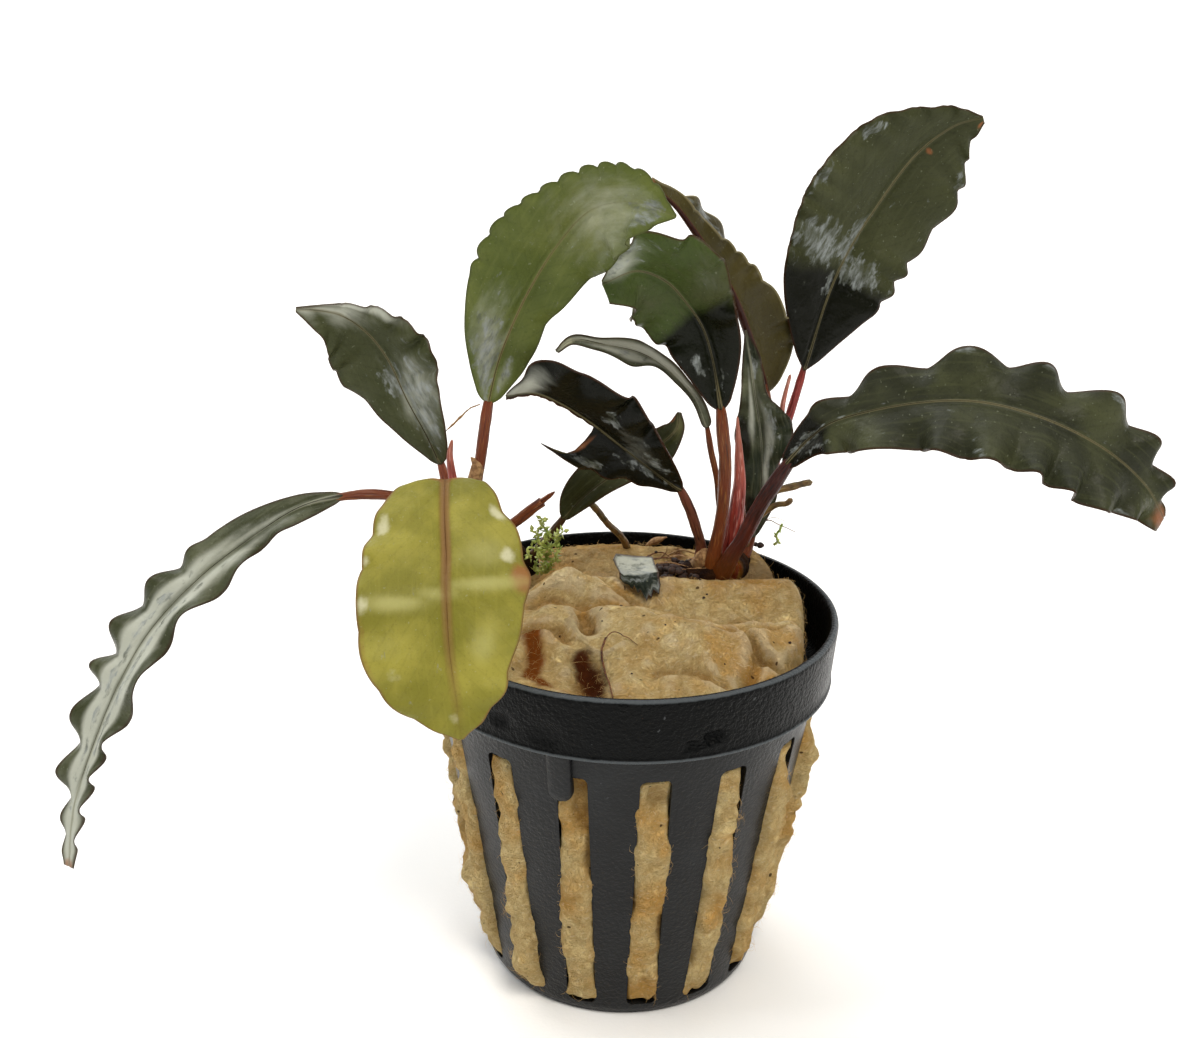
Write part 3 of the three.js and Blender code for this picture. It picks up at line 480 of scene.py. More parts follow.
LEFT_LEAVES = {
    "green_leaf": dict(
        node="leaf_left_green", tone="green_leaf", stalk_radius=0.7,
        stalk=[[-19.9, 0.4, 58.2], [-19.2, 0, 61.5], [-18.3, 0, 66], [-17.5, 0, 71.5]],
        stations=[[-17.2, 0, 73.6, 1, 0.9, 6], [-16.1, 0, 78.3, 3.5, 3.1, 6],
                  [-14.5, -1, 82.7, 5.6, 3.6, 6], [-12.2, -2, 87.7, 7.2, 4.1, 6],
                  [-9.1, -4, 93, 7.1, 5.6, 4], [-5.3, -7, 97.6, 4.8, 6.1, 0],
                  [-0.6, -11, 99.2, 3.8, 4.8, -6], [3.9, -15, 98.4, 0.2, 0.2, -10]],
        folds=(10, 10),
        margins=(((0.46, 0.523, 0.576, 0.625, 0.668, 0.706, 0.745, 0.785, 0.823, 0.863, 0.91,
                   0.96), 0.75, 0.12, 1), ((0.35, 0.55, 0.72, 0.84, 0.93), 0.5, 0.6, 0.3)),
        patches=dict(
            film=[(0.17, -0.45, 0.18, 0.35, 0.6), (0.12, 0.4, 0.1, 0.2, 0.5),
                  (0.92, 0.2, 0.06, 0.6, 0.6)],
            # The band and the sheen near the top are painted light, where the blade faces up.
            band=[(0.74, 0.1, 0.2, 1.1, 0.34)],
            sheen=[(0.78, 0.2, 0.2, 1, 0.4), (0.2, -0.45, 0.2, 0.45, 0.5),
                   (0.1, 0.4, 0.1, 0.35, 0.4)]),
    ),
    "upper_left_leaf": dict(
        node="leaf_upper_left", tone="dark_leaf", stalk_radius=0.6, colour="#3d4129",
        stalk_colours=("#8a5038", "#5a2a1c", "#b98a68"),
        stalk=[[-21.1, 0.2, 59.1], [-22.1, 1.2, 61.3], [-22.6, 1.1, 63.5]],
        stations=[[-23.1, 1, 65.5, 0.6, 0.9, -8], [-24.8, 1, 69.4, 2.6, 3.1, -8],
                  [-27.1, 2, 73.3, 4.1, 5.2, -8], [-29.3, 3, 77.7, 6.1, 6.1, -5],
                  [-31.6, 2, 81.3, 5.9, 4.4, 0], [-34.6, 0, 83.9, 4.6, 1.4, 10],
                  [-38.8, -3, 85.1, 0.4, 0.2, 15]],
        folds=(14, 14),
        margins=(((0.4, 0.6, 0.75, 0.86, 0.94), 0.35, 0.4, 0.5),
                 ((0.4, 0.53, 0.63, 0.73, 0.83, 0.92), 1, 1, 0.6)),
        patches=dict(
            film=[(0.28, 0.45, 0.2, 0.5, 0.65), (0.42, -0.1, 0.1, 0.3, 0.6)],
            sheen=[(0.3, 0.4, 0.22, 0.7, 0.5), (0.86, 0.3, 0.14, 0.6, 0.7), (0.97, 0, 0.06, 1, 0.6),
                   (0.8, 0.85, 0.16, 0.2, 0.9)]),
    ),
    "long_left_leaf": dict(
        node="leaf_long_left", tone="silver_leaf", stalk_radius=0.6,
        stalk=[[-21.2, -1, 58.6], [-22.4, -2, 60.4], [-24, -3, 61.9], [-26.6, -5, 63.2],
               [-30.6, -6, 63.9]],
        stations=[[-33.4, -7, 64.1, 0.5, 0.5, 30], [-38.2, -9, 63.1, 1.8, 1.6, 34],
                  [-43.1, -11, 60.2, 1.8, 3, 36], [-48.4, -14, 56.5, 3.4, 3.3, 38],
                  [-53.5, -17, 51.4, 2.9, 3.8, 38], [-56.9, -20, 45.9, 4.2, 3.5, 38],
                  [-60, -22, 38.7, 2, 3.3, 35], [-62.7, -23, 31.1, 1.6, 1.6, 30],
                  [-63.8, -24, 23.7, 0.8, 0.8, 25]],
        folds=(12, 12),
        margins=(((0.25, 0.37, 0.52, 0.69, 0.77, 0.83, 0.9), 1, 1.3, 0.2),
                 ((0.4, 0.49, 0.59, 0.66, 0.77, 0.87, 0.94), 0.9, 1.2, 0.4)),
        colour="#3c402c",
        patches=dict(
            sheen=[(0.62, -0.34, 0.32, 0.26, 1.3), (0.62, 0.34, 0.32, 0.26, 1.3),
                   (0.3, -0.5, 0.16, 0.3, 0.5), (0.3, 0.2, 0.2, 0.14, 0.6),
                   (0.93, 0, 0.1, 0.8, 1.2)],
            film=[(0.6, -0.3, 0.3, 0.12, 0.5), (0.6, 0.3, 0.3, 0.12, 0.5)],
            warm=[(1, 0, 0.02, 1, 1)]),
    ),
    "yellow_leaf": dict(
        node="leaf_front_yellow", tone="yellow_leaf", stalk_radius=0.65,
        stalk=[[-20.2, -1.2, 58.4], [-20.2, -3.4, 60], [-20.6, -6.4, 63.1], [-20.9, -9, 66]],
        behind=(0, 0.6, -0.8),
        stations=[[-21, -11, 67.6, 3.3, 3.6, 0], [-20.8, -13.4, 67.1, 5, 5.6, 0],
                  [-20.4, -17, 65.4, 6.6, 7.4, -2],
                  [-19.8, -21, 62.6, 8.3, 8.7, -4], [-19.5, -24, 59.4, 8.9, 9.4, -6],
                  [-18.9, -27, 54.1, 7.2, 9.3, -8], [-18, -29, 49.3, 5.1, 6.4, -6],
                  [-17.4, -30, 45.1, 0.3, 0.4, 0]],
        folds=(6, 6),
        margins=(((0.28, 0.46, 0.61, 0.8, 0.9), 0.4, 0.4, 0.4),
                 ((0.35, 0.5, 0.66, 0.79, 0.9), 0.45, 0.4, 0.6)),
        patches=dict(
            pale=[(0.3, -0.86, 0.05, 0.12, 1), (0.45, -0.8, 0.03, 0.12, 1),
                  (0.33, 0.86, 0.05, 0.12, 0.9), (0.47, 0.97, 0.03, 0.08, 0.8),
                  (0.6, 0.94, 0.03, 0.1, 0.8), (0.76, 0.72, 0.03, 0.15, 0.5),
                  (0.92, 0.1, 0.04, 0.3, 0.5)],
            band=[(0.6, 0.6, 0.022, 0.4, 0.9), (0.575, 0.1, 0.024, 0.3, 0.7),
                  (0.55, -0.5, 0.026, 0.5, 0.9), (0.44, -0.5, 0.06, 0.4, 0.55),
                  (0.71, -0.5, 0.06, 0.25, 0.6)],
            warm=[(0.53, -0.95, 0.06, 0.2, 1.2), (0.02, 0, 0.05, 0.8, 0.9),
                  (0.2, 0.97, 0.12, 0.04, 0.9), (0.7, 0.97, 0.2, 0.04, 0.8),
                  (0.3, -0.98, 0.15, 0.04, 0.8)]),
    ),
    "low_dark_leaf": dict(
        node="leaf_low_dark", tone="dark_leaf", stalk_radius=0.55, colour="#2c2f18",
        stalk_colours=("#4e3a22", "#241a0e", "#75603a"),
        stalk=[[-13.2, 9.4, 49.2], [-11.4, 9, 52.1], [-9.8, 8, 54.5]],
        stations=[[-8.5, 7, 56.6, 0.6, 0.5, 0], [-6.4, 6, 59.5, 2.7, 1.3, 0],
                  [-3.6, 5, 62.4, 3.6, 1.7, 0], [-0.2, 5, 64.9, 3.3, 2.2, 0],
                  [2.8, 5, 67, 2.5, 2.6, 5], [5.2, 5, 69.4, 1.6, 1.2, 10],
                  [5.6, 5, 71.6, 0.2, 0.3, 10]],
        folds=(12, 12), margins=(NO_MARGIN, NO_MARGIN),
        patches=dict(
            film=[(0.25, 0.1, 0.12, 0.14, 0.45)],
            warm=[(0.93, -1, 0.05, 0.5, 1)],
            band=[(0.88, 0.3, 0.12, 0.8, 0.4)]),
    ),
}

# The torn scrap: its back edge, the fold it hangs by and its torn front edge, each a row of
# [share of the width, x, y, z].
SCRAP_BACK = [[0, -2, 3, 52.8], [0.14, -1.7, 4, 53.2], [0.55, 0.8, 4.1, 52.9], [1, 2.9, 4, 52.9]]
SCRAP_FOLD = [[0, -1.2, 1.9, 51.6], [0.15, -0.6, 1.4, 51.2], [0.6, 1.8, 1.1, 51.4],
              [1, 3.7, 1.3, 51.9]]
SCRAP_FRONT = [[0, -1.1, 1.4, 51], [0.1, -0.5, 0.9, 50.5], [0.17, 0, 0.4, 50.6],
               [0.25, 0.5, 0, 50.2], [0.31, 0.8, 0.1, 50.7], [0.4, 1.2, -0.6, 49.9],
               [0.47, 1.5, -0.5, 50.3], [0.57, 2.3, -1.5, 49.2], [0.64, 2.5, -1.1, 49.9],
               [0.72, 2.9, -1.2, 49.6], [0.8, 3.1, -0.8, 50.4], [0.9, 3.8, -1.1, 50],
               [1, 3.9, -0.2, 51]]

SCRAP_ROWS = 90
SCRAP_COLUMNS = 20
SCRAP_LENGTH = 4.6

PATCH_MARKS = ("film", "sheen", "deep", "warm", "pale", "band")
BLADE_COLUMNS = 25
RIB_CROWDING = 1.5
VEIN_SPACING = 2.3
VEIN_SLANT = 1.3
# Relief of a blade as (height, width): the ridge on the midrib, the channels beside it and the
# side veins. A channel's place is how far it lies from the midrib, and the width of a vein is a
# share of their spacing.
RIB_RIDGE = (0.1, 0.22)
RIB_CHANNEL = (0.12, 0.2)
CHANNEL_PLACE = 0.5
VEIN_GROOVE = (0.03, 0.12)
# No half width is less than this: at a station, and at a margin with its bumps.
LEAST_STATION_WIDTH = 0.15
LEAST_HALF_WIDTH = 0.12
# The margins get their bumps and waves as the blade widens from the first half width to the second.
BUMPY_WIDTHS = (0.3, 2.5)
# A blade is rounded over this share of its length at its base, and it bulges between its midrib
# and its margins by this share of its half width.
ROUND_BASE = 0.035
BLADE_ARCH = 0.06
# The unevenness of every blade: (height, width).
CRUMPLES = ((0.16, 5), (0.05, 1.7))
# Where a stalk runs out under its blade: (share of the blade's length, depth in stalk radii).
STALK_END = ((0.03, 0.35), (0.1, 0.5), (0.22, 0.3))


def margin_wave(t, margin, seed):
    """How far the margin stands out, and how far it lifts, at each share of the length, in mm."""
    notches, depth, lift, cusp = margin
    if len(notches) < 2:
        return np.zeros_like(t), np.zeros_like(t)
    notches = np.array(notches)
    first, last = notches[1] - notches[0], notches[-1] - notches[-2]
    knots = np.concatenate([[notches[0] - first], notches, [notches[-1] + last]])
    phase = np.interp(t, knots, np.arange(len(knots)))
    strength = np.random.default_rng(seed).uniform(0.7, 1.25, len(knots))
    strength = np.interp(phase, np.arange(len(knots)) + 0.5, strength)
    fade = smooth(t, knots[0], notches[0]) * (1 - smooth(t, 0.96, 1) * 0.7) * strength
    rounded = -0.5 * np.cos(2 * np.pi * phase)
    cusped = np.abs(np.sin(np.pi * phase)) ** 0.7 - 0.6
    out = depth * mix(rounded, cusped, cusp) * fade
    up = -lift * np.cos(2 * np.pi * phase) * fade
    return out, up


def blade_frames(form, t):
    """Midrib places, the way to the right margin, the facing way and the half widths."""
    stations = np.asarray(form["stations"], float)
    centre = curve(stations[:, :3], t)
    ahead = curve(stations[:, :3], np.clip(t + 5e-4, 0, 1))
    behind = curve(stations[:, :3], np.clip(t - 5e-4, 0, 1))
    along = unit(ahead - behind)
    flat = unit(np.cross(form.get("behind", (0, 1, 0)), along))
    back = np.cross(along, flat)
    spread = curve(stations[:, 3:], t)
    roll = np.radians(spread[:, 2])[:, None]
    right = flat * np.cos(roll) + back * np.sin(roll)
    return centre, right, np.cross(right, along), np.maximum(spread[:, :2], LEAST_STATION_WIDTH)


def half_widths(form, t, widths, seed):
    """Half widths and lifts of both margins, with their bumps and with a bite taken out."""
    sides = []
    base = np.sqrt(1 - (1 - np.clip(t / ROUND_BASE, 0, 1)) ** 2)
    for side in (0, 1):
        out, up = margin_wave(t, form["margins"][side], seed + side)
        bumpy = smooth(widths[:, side], *BUMPY_WIDTHS)
        width = np.maximum((widths[:, side] + out * bumpy) * base, LEAST_HALF_WIDTH)
        sides.append([width, up * bumpy])
    bite = form.get("bite")
    if bite:
        ragged = 0.12 * noise(np.stack([t * 60, t * 0, t * 0], -1), 1.1, seed)
        gone = smooth(t, bite["start"], bite["end"])
        sides[0][0] = mix(sides[0][0], bite["left"] + ragged, gone)
        sides[0][1] = sides[0][1] * (1 - gone)
    return sides


def spiked(sheet, form, t, x):
    """Draws a corner of the left margin out towards the tip, beside the bite."""
    if "bite" not in form:
        return sheet
    share, reach, length = form["bite"]["spike"]
    ahead = unit(np.gradient(sheet[:, sheet.shape[1] // 2], axis=0))
    strength = length * np.exp(-((t - share) / reach) ** 2)
    shift = strength[:, None] * np.clip(-x, 0, 1)[None] ** 6
    return sheet + ahead[:, None] * shift[..., None]


def blade_sheet(form, step, ruffle, seed):
    """The blade's middle sheet, a grid of rows from base to tip, and its marks."""
    stations = np.asarray(form["stations"], float)
    t, run = even_shares(stations[:, :3], step)
    s = np.linspace(-1, 1, 2 * BLADE_COLUMNS + 1)
    x = np.sign(s) * np.abs(s) ** RIB_CROWDING
    centre, right, facing, widths = blade_frames(form, t)
    upper = form.get("upper", 1)
    sides = half_widths(form, t, widths, seed)
    side = (x > 0).astype(int)
    sign = np.where(x < 0, -1, 1)
    reach = np.stack([sides[0][0], sides[1][0]], -1)[:, side] * np.abs(x)
    lift = np.stack([sides[0][1], sides[1][1]], -1)[:, side] * ruffle * np.abs(x) ** 2.2
    folds = np.radians(np.array(form["folds"]))[side] * smooth(np.abs(x), 0, 0.1)
    fold = smooth(t, 0, 0.15)[:, None] * folds[None] * upper
    full = np.stack([sides[0][0], sides[1][0]], -1)[:, side]
    arch = BLADE_ARCH * full * (np.abs(x) * (1 - np.abs(x)) * 4)
    out_way = (right[:, None] * (sign * np.cos(fold))[..., None]
               + facing[:, None] * np.sin(fold)[..., None])
    up_way = (facing[:, None] * np.cos(fold)[..., None]
              - right[:, None] * (sign * np.sin(fold))[..., None])
    sheet = centre[:, None] + out_way * reach[..., None] + up_way * (upper * (lift + arch))[..., None]
    crumple = sum(height * noise(sheet, size, seed + 5 + k)
                  for k, (height, size) in enumerate(CRUMPLES))
    sheet = sheet + up_way * (crumple * smooth(np.abs(x), 0, 0.4))[..., None]
    sheet = spiked(sheet, form, t, x)
    marks = {
        "run_mm": np.broadcast_to(run[:, None], reach.shape),
        "side_mm": reach * sign,
        "rib_mm": reach,
        "rim_mm": full - reach,
        "along": np.broadcast_to(t[:, None], reach.shape),
    }
    for mark in PATCH_MARKS:
        marks[mark] = patch_value(form["patches"].get(mark, ()), t[:, None], x[None])
    return sheet, up_way * upper, marks


def patch_value(patches, t, x):
    """Strength of one kind of patch over the blade, from 0 to 1."""
    total = np.zeros(np.broadcast(t, x).shape)
    for along, across, reach_along, reach_across, strength in patches:
        near = ((t - along) / reach_along) ** 2 + ((x - across) / reach_across) ** 2
        total = np.maximum(total, strength * np.exp(-near))
    return np.clip(total, 0, 1)


def sheet_normals(sheet, guide):
    """Normals of a grid of points, turned to the guide's side."""
    along = np.gradient(sheet, axis=0)
    across = np.gradient(sheet, axis=1)
    normal = unit(np.cross(across, along))
    flip = np.einsum("ijk,ijk->ij", normal, guide) < 0
    return np.where(flip[..., None], -normal, normal)


def blade_skins(sheet, guide, marks, thickness, rib_radius):
    """The upper and the lower skin of a blade: thin at the margins, ridged under the midrib."""
    normal = sheet_normals(sheet, guide)
    rib, rim, along, run = marks["rib_mm"], marks["rim_mm"], marks["along"], marks["run_mm"]
    # The blade is thinner towards its tip and at its margins, where the relief runs out too.
    half = thickness * (1 - 0.4 * along) * mix(0.3, 1, smooth(rim, 0, 1.2))
    fade = (1 - smooth(along, 0.75, 1)) * smooth(rim, 0, 0.6)
    height, width = RIB_RIDGE
    ridge = height * np.exp(-(rib / width) ** 2) * fade
    height, width = RIB_CHANNEL
    channels = height * np.exp(-((rib - CHANNEL_PLACE) / width) ** 2) * fade * (1 - 0.5 * along)
    height, width = VEIN_GROOVE
    vein_place = (run - VEIN_SLANT * rib) / VEIN_SPACING
    veins = np.exp(-((vein_place - np.round(vein_place)) / width) ** 2)
    veins = height * veins * smooth(rib, 0.5, 1.5) * smooth(rim, 0.2, 1) * smooth(along, 0.02, 0.1)
    over = sheet + normal * (half + ridge - channels - veins)[..., None]
    keel = rib_radius * (1 - along) ** 1.3 * np.exp(-(rib / (0.35 + 0.9 * rib_radius)) ** 2) * fade
    under = sheet - normal * (half + keel + veins)[..., None]
    return over, under


def scrap_sheet():
    """The scrap's middle sheet: a plate that lies back from a fold, and a torn front that hangs."""
    u = np.linspace(0, 1, SCRAP_ROWS)
    x = np.linspace(-1, 1, 2 * SCRAP_COLUMNS + 1)
    edges = [np.array(edge) for edge in (SCRAP_BACK, SCRAP_FOLD, SCRAP_FRONT)]
    back, fold, front = (np.stack([np.interp(u, edge[:, 0], edge[:, k]) for k in (1, 2, 3)], -1)
                         for edge in edges)
    reach = np.abs(x)[None, :, None]
    hanging = smooth(x, -0.25, 0.25)[None, :, None]
    sheet = mix(fold[:, None], np.where((x > 0)[None, :, None], front[:, None], back[:, None]), reach)
    guide = unit(mix(np.array([0, -0.25, 1.0]), np.array([0, -1, 0.3]), hanging))
    swell = 0.9 * reach * (1 - reach) * mix(-0.4, 1, hanging)
    sheet = sheet + guide * (swell + 0.1 * noise(sheet, 1.2, SEED)[..., None])
    guide = np.broadcast_to(guide, sheet.shape)
    full = np.ones((SCRAP_ROWS, x.size))
    side = np.minimum(u, 1 - u)[:, None] * SCRAP_LENGTH
    marks = {
        "run_mm": u[:, None] * SCRAP_LENGTH * full,
        "side_mm": x[None] * 2.6 * full,
        "rib_mm": 5 * full,
        "rim_mm": np.minimum(side, 2.4 * (1 - np.abs(x))[None]),
        "along": 0.3 * full,
        "sheen": (0.95 * (1 - smooth(x, -0.12, 0.02)))[None] * full,
        "film": 0.35 * full,
    }
    return sheet, guide, marks


def close_blade(shell, sheet, guide, marks, half, rib_radius):
    """A closed blade: finish 0 is its upper side, 1 its underside."""
    over, under = blade_skins(sheet, guide, marks, half, rib_radius)
    rows, columns = sheet.shape[:2]
    top = grid_faces(rows, columns)
    low = top[:, ::-1] + rows * columns
    ring = np.concatenate([
        np.arange(columns), np.arange(1, rows) * columns + columns - 1,
        np.arange(columns - 2, -1, -1) + (rows - 1) * columns, np.arange(rows - 2, 0, -1) * columns,
    ])
    after = np.roll(ring, -1)
    rim = np.stack([after, ring, ring + rows * columns, after + rows * columns], -1)
    doubled = {name: np.tile(np.ravel(values), 2) for name, values in marks.items()}
    shell.add(np.vstack([over.reshape(-1, 3), under.reshape(-1, 3)]), [top, low, rim],
              finish=[0, 1, 0], **doubled)


def add_stalk(shell, form, sheet, guide):
    """The leaf's stalk: channelled above, wider at its foot, running out behind the midrib."""
    radius = form["stalk_radius"]
    middle = sheet.shape[1] // 2
    under = []
    for share, back in STALK_END:
        row = int(share * len(sheet))
        under.append(sheet[row, middle] - guide[row, middle] * (0.12 + back * radius))
    points = np.array([*form["stalk"], *under])
    t, run = even_shares(points, 0.4)
    route = curve(points, t)
    stalk_end = (len(form["stalk"]) - 1) / (len(points) - 1)
    radii = radius * mix(1, 0.2, smooth(t, stalk_end, stalk_end + (1 - stalk_end) * 0.75))
    radii = radii * (1 + 0.5 * np.exp(-(run / 3) ** 2))
    normal = guide[0, middle]
    points, faces, marks = tube(route[::-1], radii[::-1], sides=18, normal=normal, groove=0.2,
                                lumps=0.06 * radius, seed=7)
    marks["along"] = 1 - marks["along"]
    shell.add(points, faces, finish=2, **marks)


# Finishes

MATH = "ShaderNodeMath"
VECTOR = "ShaderNodeVectorMath"
NOISE = "ShaderNodeTexNoise"
RANGE = "ShaderNodeMapRange"
MIX = "ShaderNodeMix"
MARK = "ShaderNodeAttribute"
BUMP = "ShaderNodeBump"


def opaque(colour):
    """A hex colour, or a linear one from the settings, with full alpha."""
    linear = srgb(colour) if isinstance(colour, str) else tuple(colour)[:3]
    return (*linear, 1)


def node(tree, kind, inputs=None, output=0, **settings):
    """Adds a node with its settings and links, and gives one of its outputs."""
    made = tree.nodes.new(kind)
    for name, value in settings.items():
        setattr(made, name, value)
    for key, value in (inputs or {}).items():
        socket = made.inputs[key]
        if isinstance(value, bpy.types.NodeSocket):
            tree.links.new(value, socket)
        elif socket.type == "RGBA":
            socket.default_value = opaque(value)
        else:
            socket.default_value = value
    return made.outputs[output] if made.outputs else made


def blank_finish(name):
    """A material with nothing in it yet, its tree, and the place on the object in millimetres."""
    material = bpy.data.materials.new(name)
    material.use_nodes = True
    tree = material.node_tree
    tree.nodes.clear()
    place = node(tree, "ShaderNodeTexCoord", output="Object")
    mm = node(tree, VECTOR, {0: place, 1: (1 / MM, 1 / MM, 1 / MM)}, operation="MULTIPLY")
    return material, tree, mm


def blade_place(tree, stretch):
    """Run along and reach across a blade or a stem, in mm, with the run drawn out."""
    run = node(tree, MARK, output="Fac", attribute_name="run_mm")
    inputs = {
        "X": node(tree, MATH, {0: run, 1: stretch}, operation="DIVIDE"),
        "Y": node(tree, MARK, output="Fac", attribute_name="side_mm"),
        "Z": node(tree, MARK, output="Fac", attribute_name="face_mm"),
    }
    return node(tree, "ShaderNodeCombineXYZ", inputs)


def pattern(tree, place, size, span, ends=(0, 1), detail=2, rough=0.5):
    """Noise with features that many mm wide, its middle span spread between two ends."""
    inputs = {"Vector": place, "Scale": 1 / size, "Detail": detail, "Roughness": rough}
    grain = node(tree, NOISE, inputs, "Fac")
    inputs = {"Value": grain, "From Min": span[0], "From Max": span[1], "To Min": ends[0],
              "To Max": ends[1]}
    return node(tree, RANGE, inputs, "Result", interpolation_type="SMOOTHSTEP")


def marked(tree, place, mark, size, span, most=1, ragged=0.5, detail=4):
    """Where the mesh bears a mark, with an edge that noise makes ragged."""
    inputs = {"Vector": place, "Scale": 1 / size, "Detail": detail, "Roughness": 0.6}
    grain = node(tree, NOISE, inputs, "Fac")
    strength = node(tree, MARK, output="Fac", attribute_name=mark)
    total = node(tree, MATH, {0: grain, 1: ragged, 2: strength}, operation="MULTIPLY_ADD")
    inputs = {"Value": total, "From Min": span[0], "From Max": span[1], "To Min": 0, "To Max": most}
    return node(tree, RANGE, inputs, "Result", interpolation_type="SMOOTHSTEP")


def mottled(tree, place, base, colour, size, span, most=1, detail=2, rough=0.5):
    """One colour over another in a noise pattern."""
    share = pattern(tree, place, size, span, (0, most), detail, rough)
    return node(tree, MIX, {0: share, 6: base, 7: colour}, 2, data_type="RGBA")


def finished(material, tree, colour, roughness, normal, **sockets):
    """Ends the tree in one plain surface and gives the material."""
    inputs = {"Base Color": colour, "Roughness": roughness, "Normal": normal}
    inputs.update({name.replace("_", " "): value for name, value in sockets.items()})
    surface = node(tree, "ShaderNodeBsdfPrincipled", inputs)
    node(tree, "ShaderNodeOutputMaterial", {"Surface": surface})
    return material


# deep is the near-black of the blades' speckle and veins, and of their painted dark reflections.
LEAF_LOOKS = {
    "dark_leaf": dict(second="#4a4d33", rib="#6c6548", groove="#14110a", rib_end=1.2,
                      deep="#090a05", rim="#3c2416", under="#4a4228", roughness=0.36),
    "silver_leaf": dict(second="#63664f", rib="#8a8b78", groove="#1d1d14", rib_end=1.3,
                        deep="#15140c", rim="#35231a", under="#5c5844", roughness=0.3),
    "olive_leaf": dict(second="#4b4320", rib="#4a2416", groove="#2c0f0a", rib_end=1.3,
                       deep="#2a1a10", rim="#857c5c", under="#3d3719", roughness=0.36),
    "green_leaf": dict(second="#646c36", rib="#8c7654", groove="#3c4322", rib_end=0.75,
                       deep="#20280f", rim="#454a26", under="#666c3c", roughness=0.36),
    "yellow_leaf": dict(second="#a29a44", rib="#7c5a34", groove="#70502e", rib_end=0.95,
                        deep="#5a5020", rim="#7a5a38", under="#7a7132", roughness=0.45,
                        rib_width=3, streaks=0.12),
}


def veined(tree, base, colour, most):
    """Fine slanting side veins, as far apart as the grooves in the mesh."""
    run = node(tree, MARK, output="Fac", attribute_name="run_mm")
    rib = node(tree, MARK, output="Fac", attribute_name="rib_mm")
    place = node(tree, MATH, {0: rib, 1: -VEIN_SLANT, 2: run}, operation="MULTIPLY_ADD")
    place = node(tree, MATH, {0: place, 1: VEIN_SPACING / 2}, operation="PINGPONG")
    inputs = {"Value": place, "From Min": 0, "From Max": 0.3, "To Min": most, "To Max": 0}
    share = node(tree, RANGE, inputs, "Result", interpolation_type="SMOOTHSTEP")
    return node(tree, MIX, {0: share, 6: base, 7: colour}, 2, data_type="RGBA")


def painted_leaf_reflections(tree):
    """Painted silvery reflections on glossy wet patches, broken into flecks along the blade."""
    place = blade_place(tree, 1.7)
    film = marked(tree, place, "film", 1.1, (1.1, 1.34), 0.9, 1.7, 7)
    haze = marked(tree, place, "film", 1.6, (0.7, 1.4), 0.25, 0.8, 5)
    flecks = pattern(tree, blade_place(tree, 3), 0.4, (0.36, 0.62), (0.25, 1), 6, 0.7)
    film = node(tree, MATH, {0: film, 1: flecks}, operation="MULTIPLY")
    return node(tree, MATH, {0: film, 1: haze}, operation="MAXIMUM")


def ribbed(tree, base, look):
    """The midrib: a pale ridge on both sides of a thin dark groove, fading along the blade."""
    along = node(tree, MARK, output="Fac", attribute_name="along")
    inputs = {"Value": along, "From Min": look["rib_end"] - 0.5, "From Max": look["rib_end"],
              "To Min": 0.85, "To Max": 0.05}
    fading = node(tree, RANGE, inputs, "Result")
    rib = node(tree, MARK, output="Fac", attribute_name="rib_mm")
    rib = node(tree, MATH, {0: rib, 1: look.get("rib_width", 1)}, operation="DIVIDE")
    for layer, near, far in ((look["rib"], 0.12, 0.3), (look["groove"], 0.03, 0.13)):
        inputs = {"Value": rib, "From Min": near, "From Max": far, "To Min": 1, "To Max": 0}
        share = node(tree, RANGE, inputs, "Result", interpolation_type="SMOOTHSTEP")
        share = node(tree, MATH, {0: share, 1: fading}, operation="MULTIPLY")
        base = node(tree, MIX, {0: share, 6: base, 7: layer}, 2, data_type="RGBA")
    return base


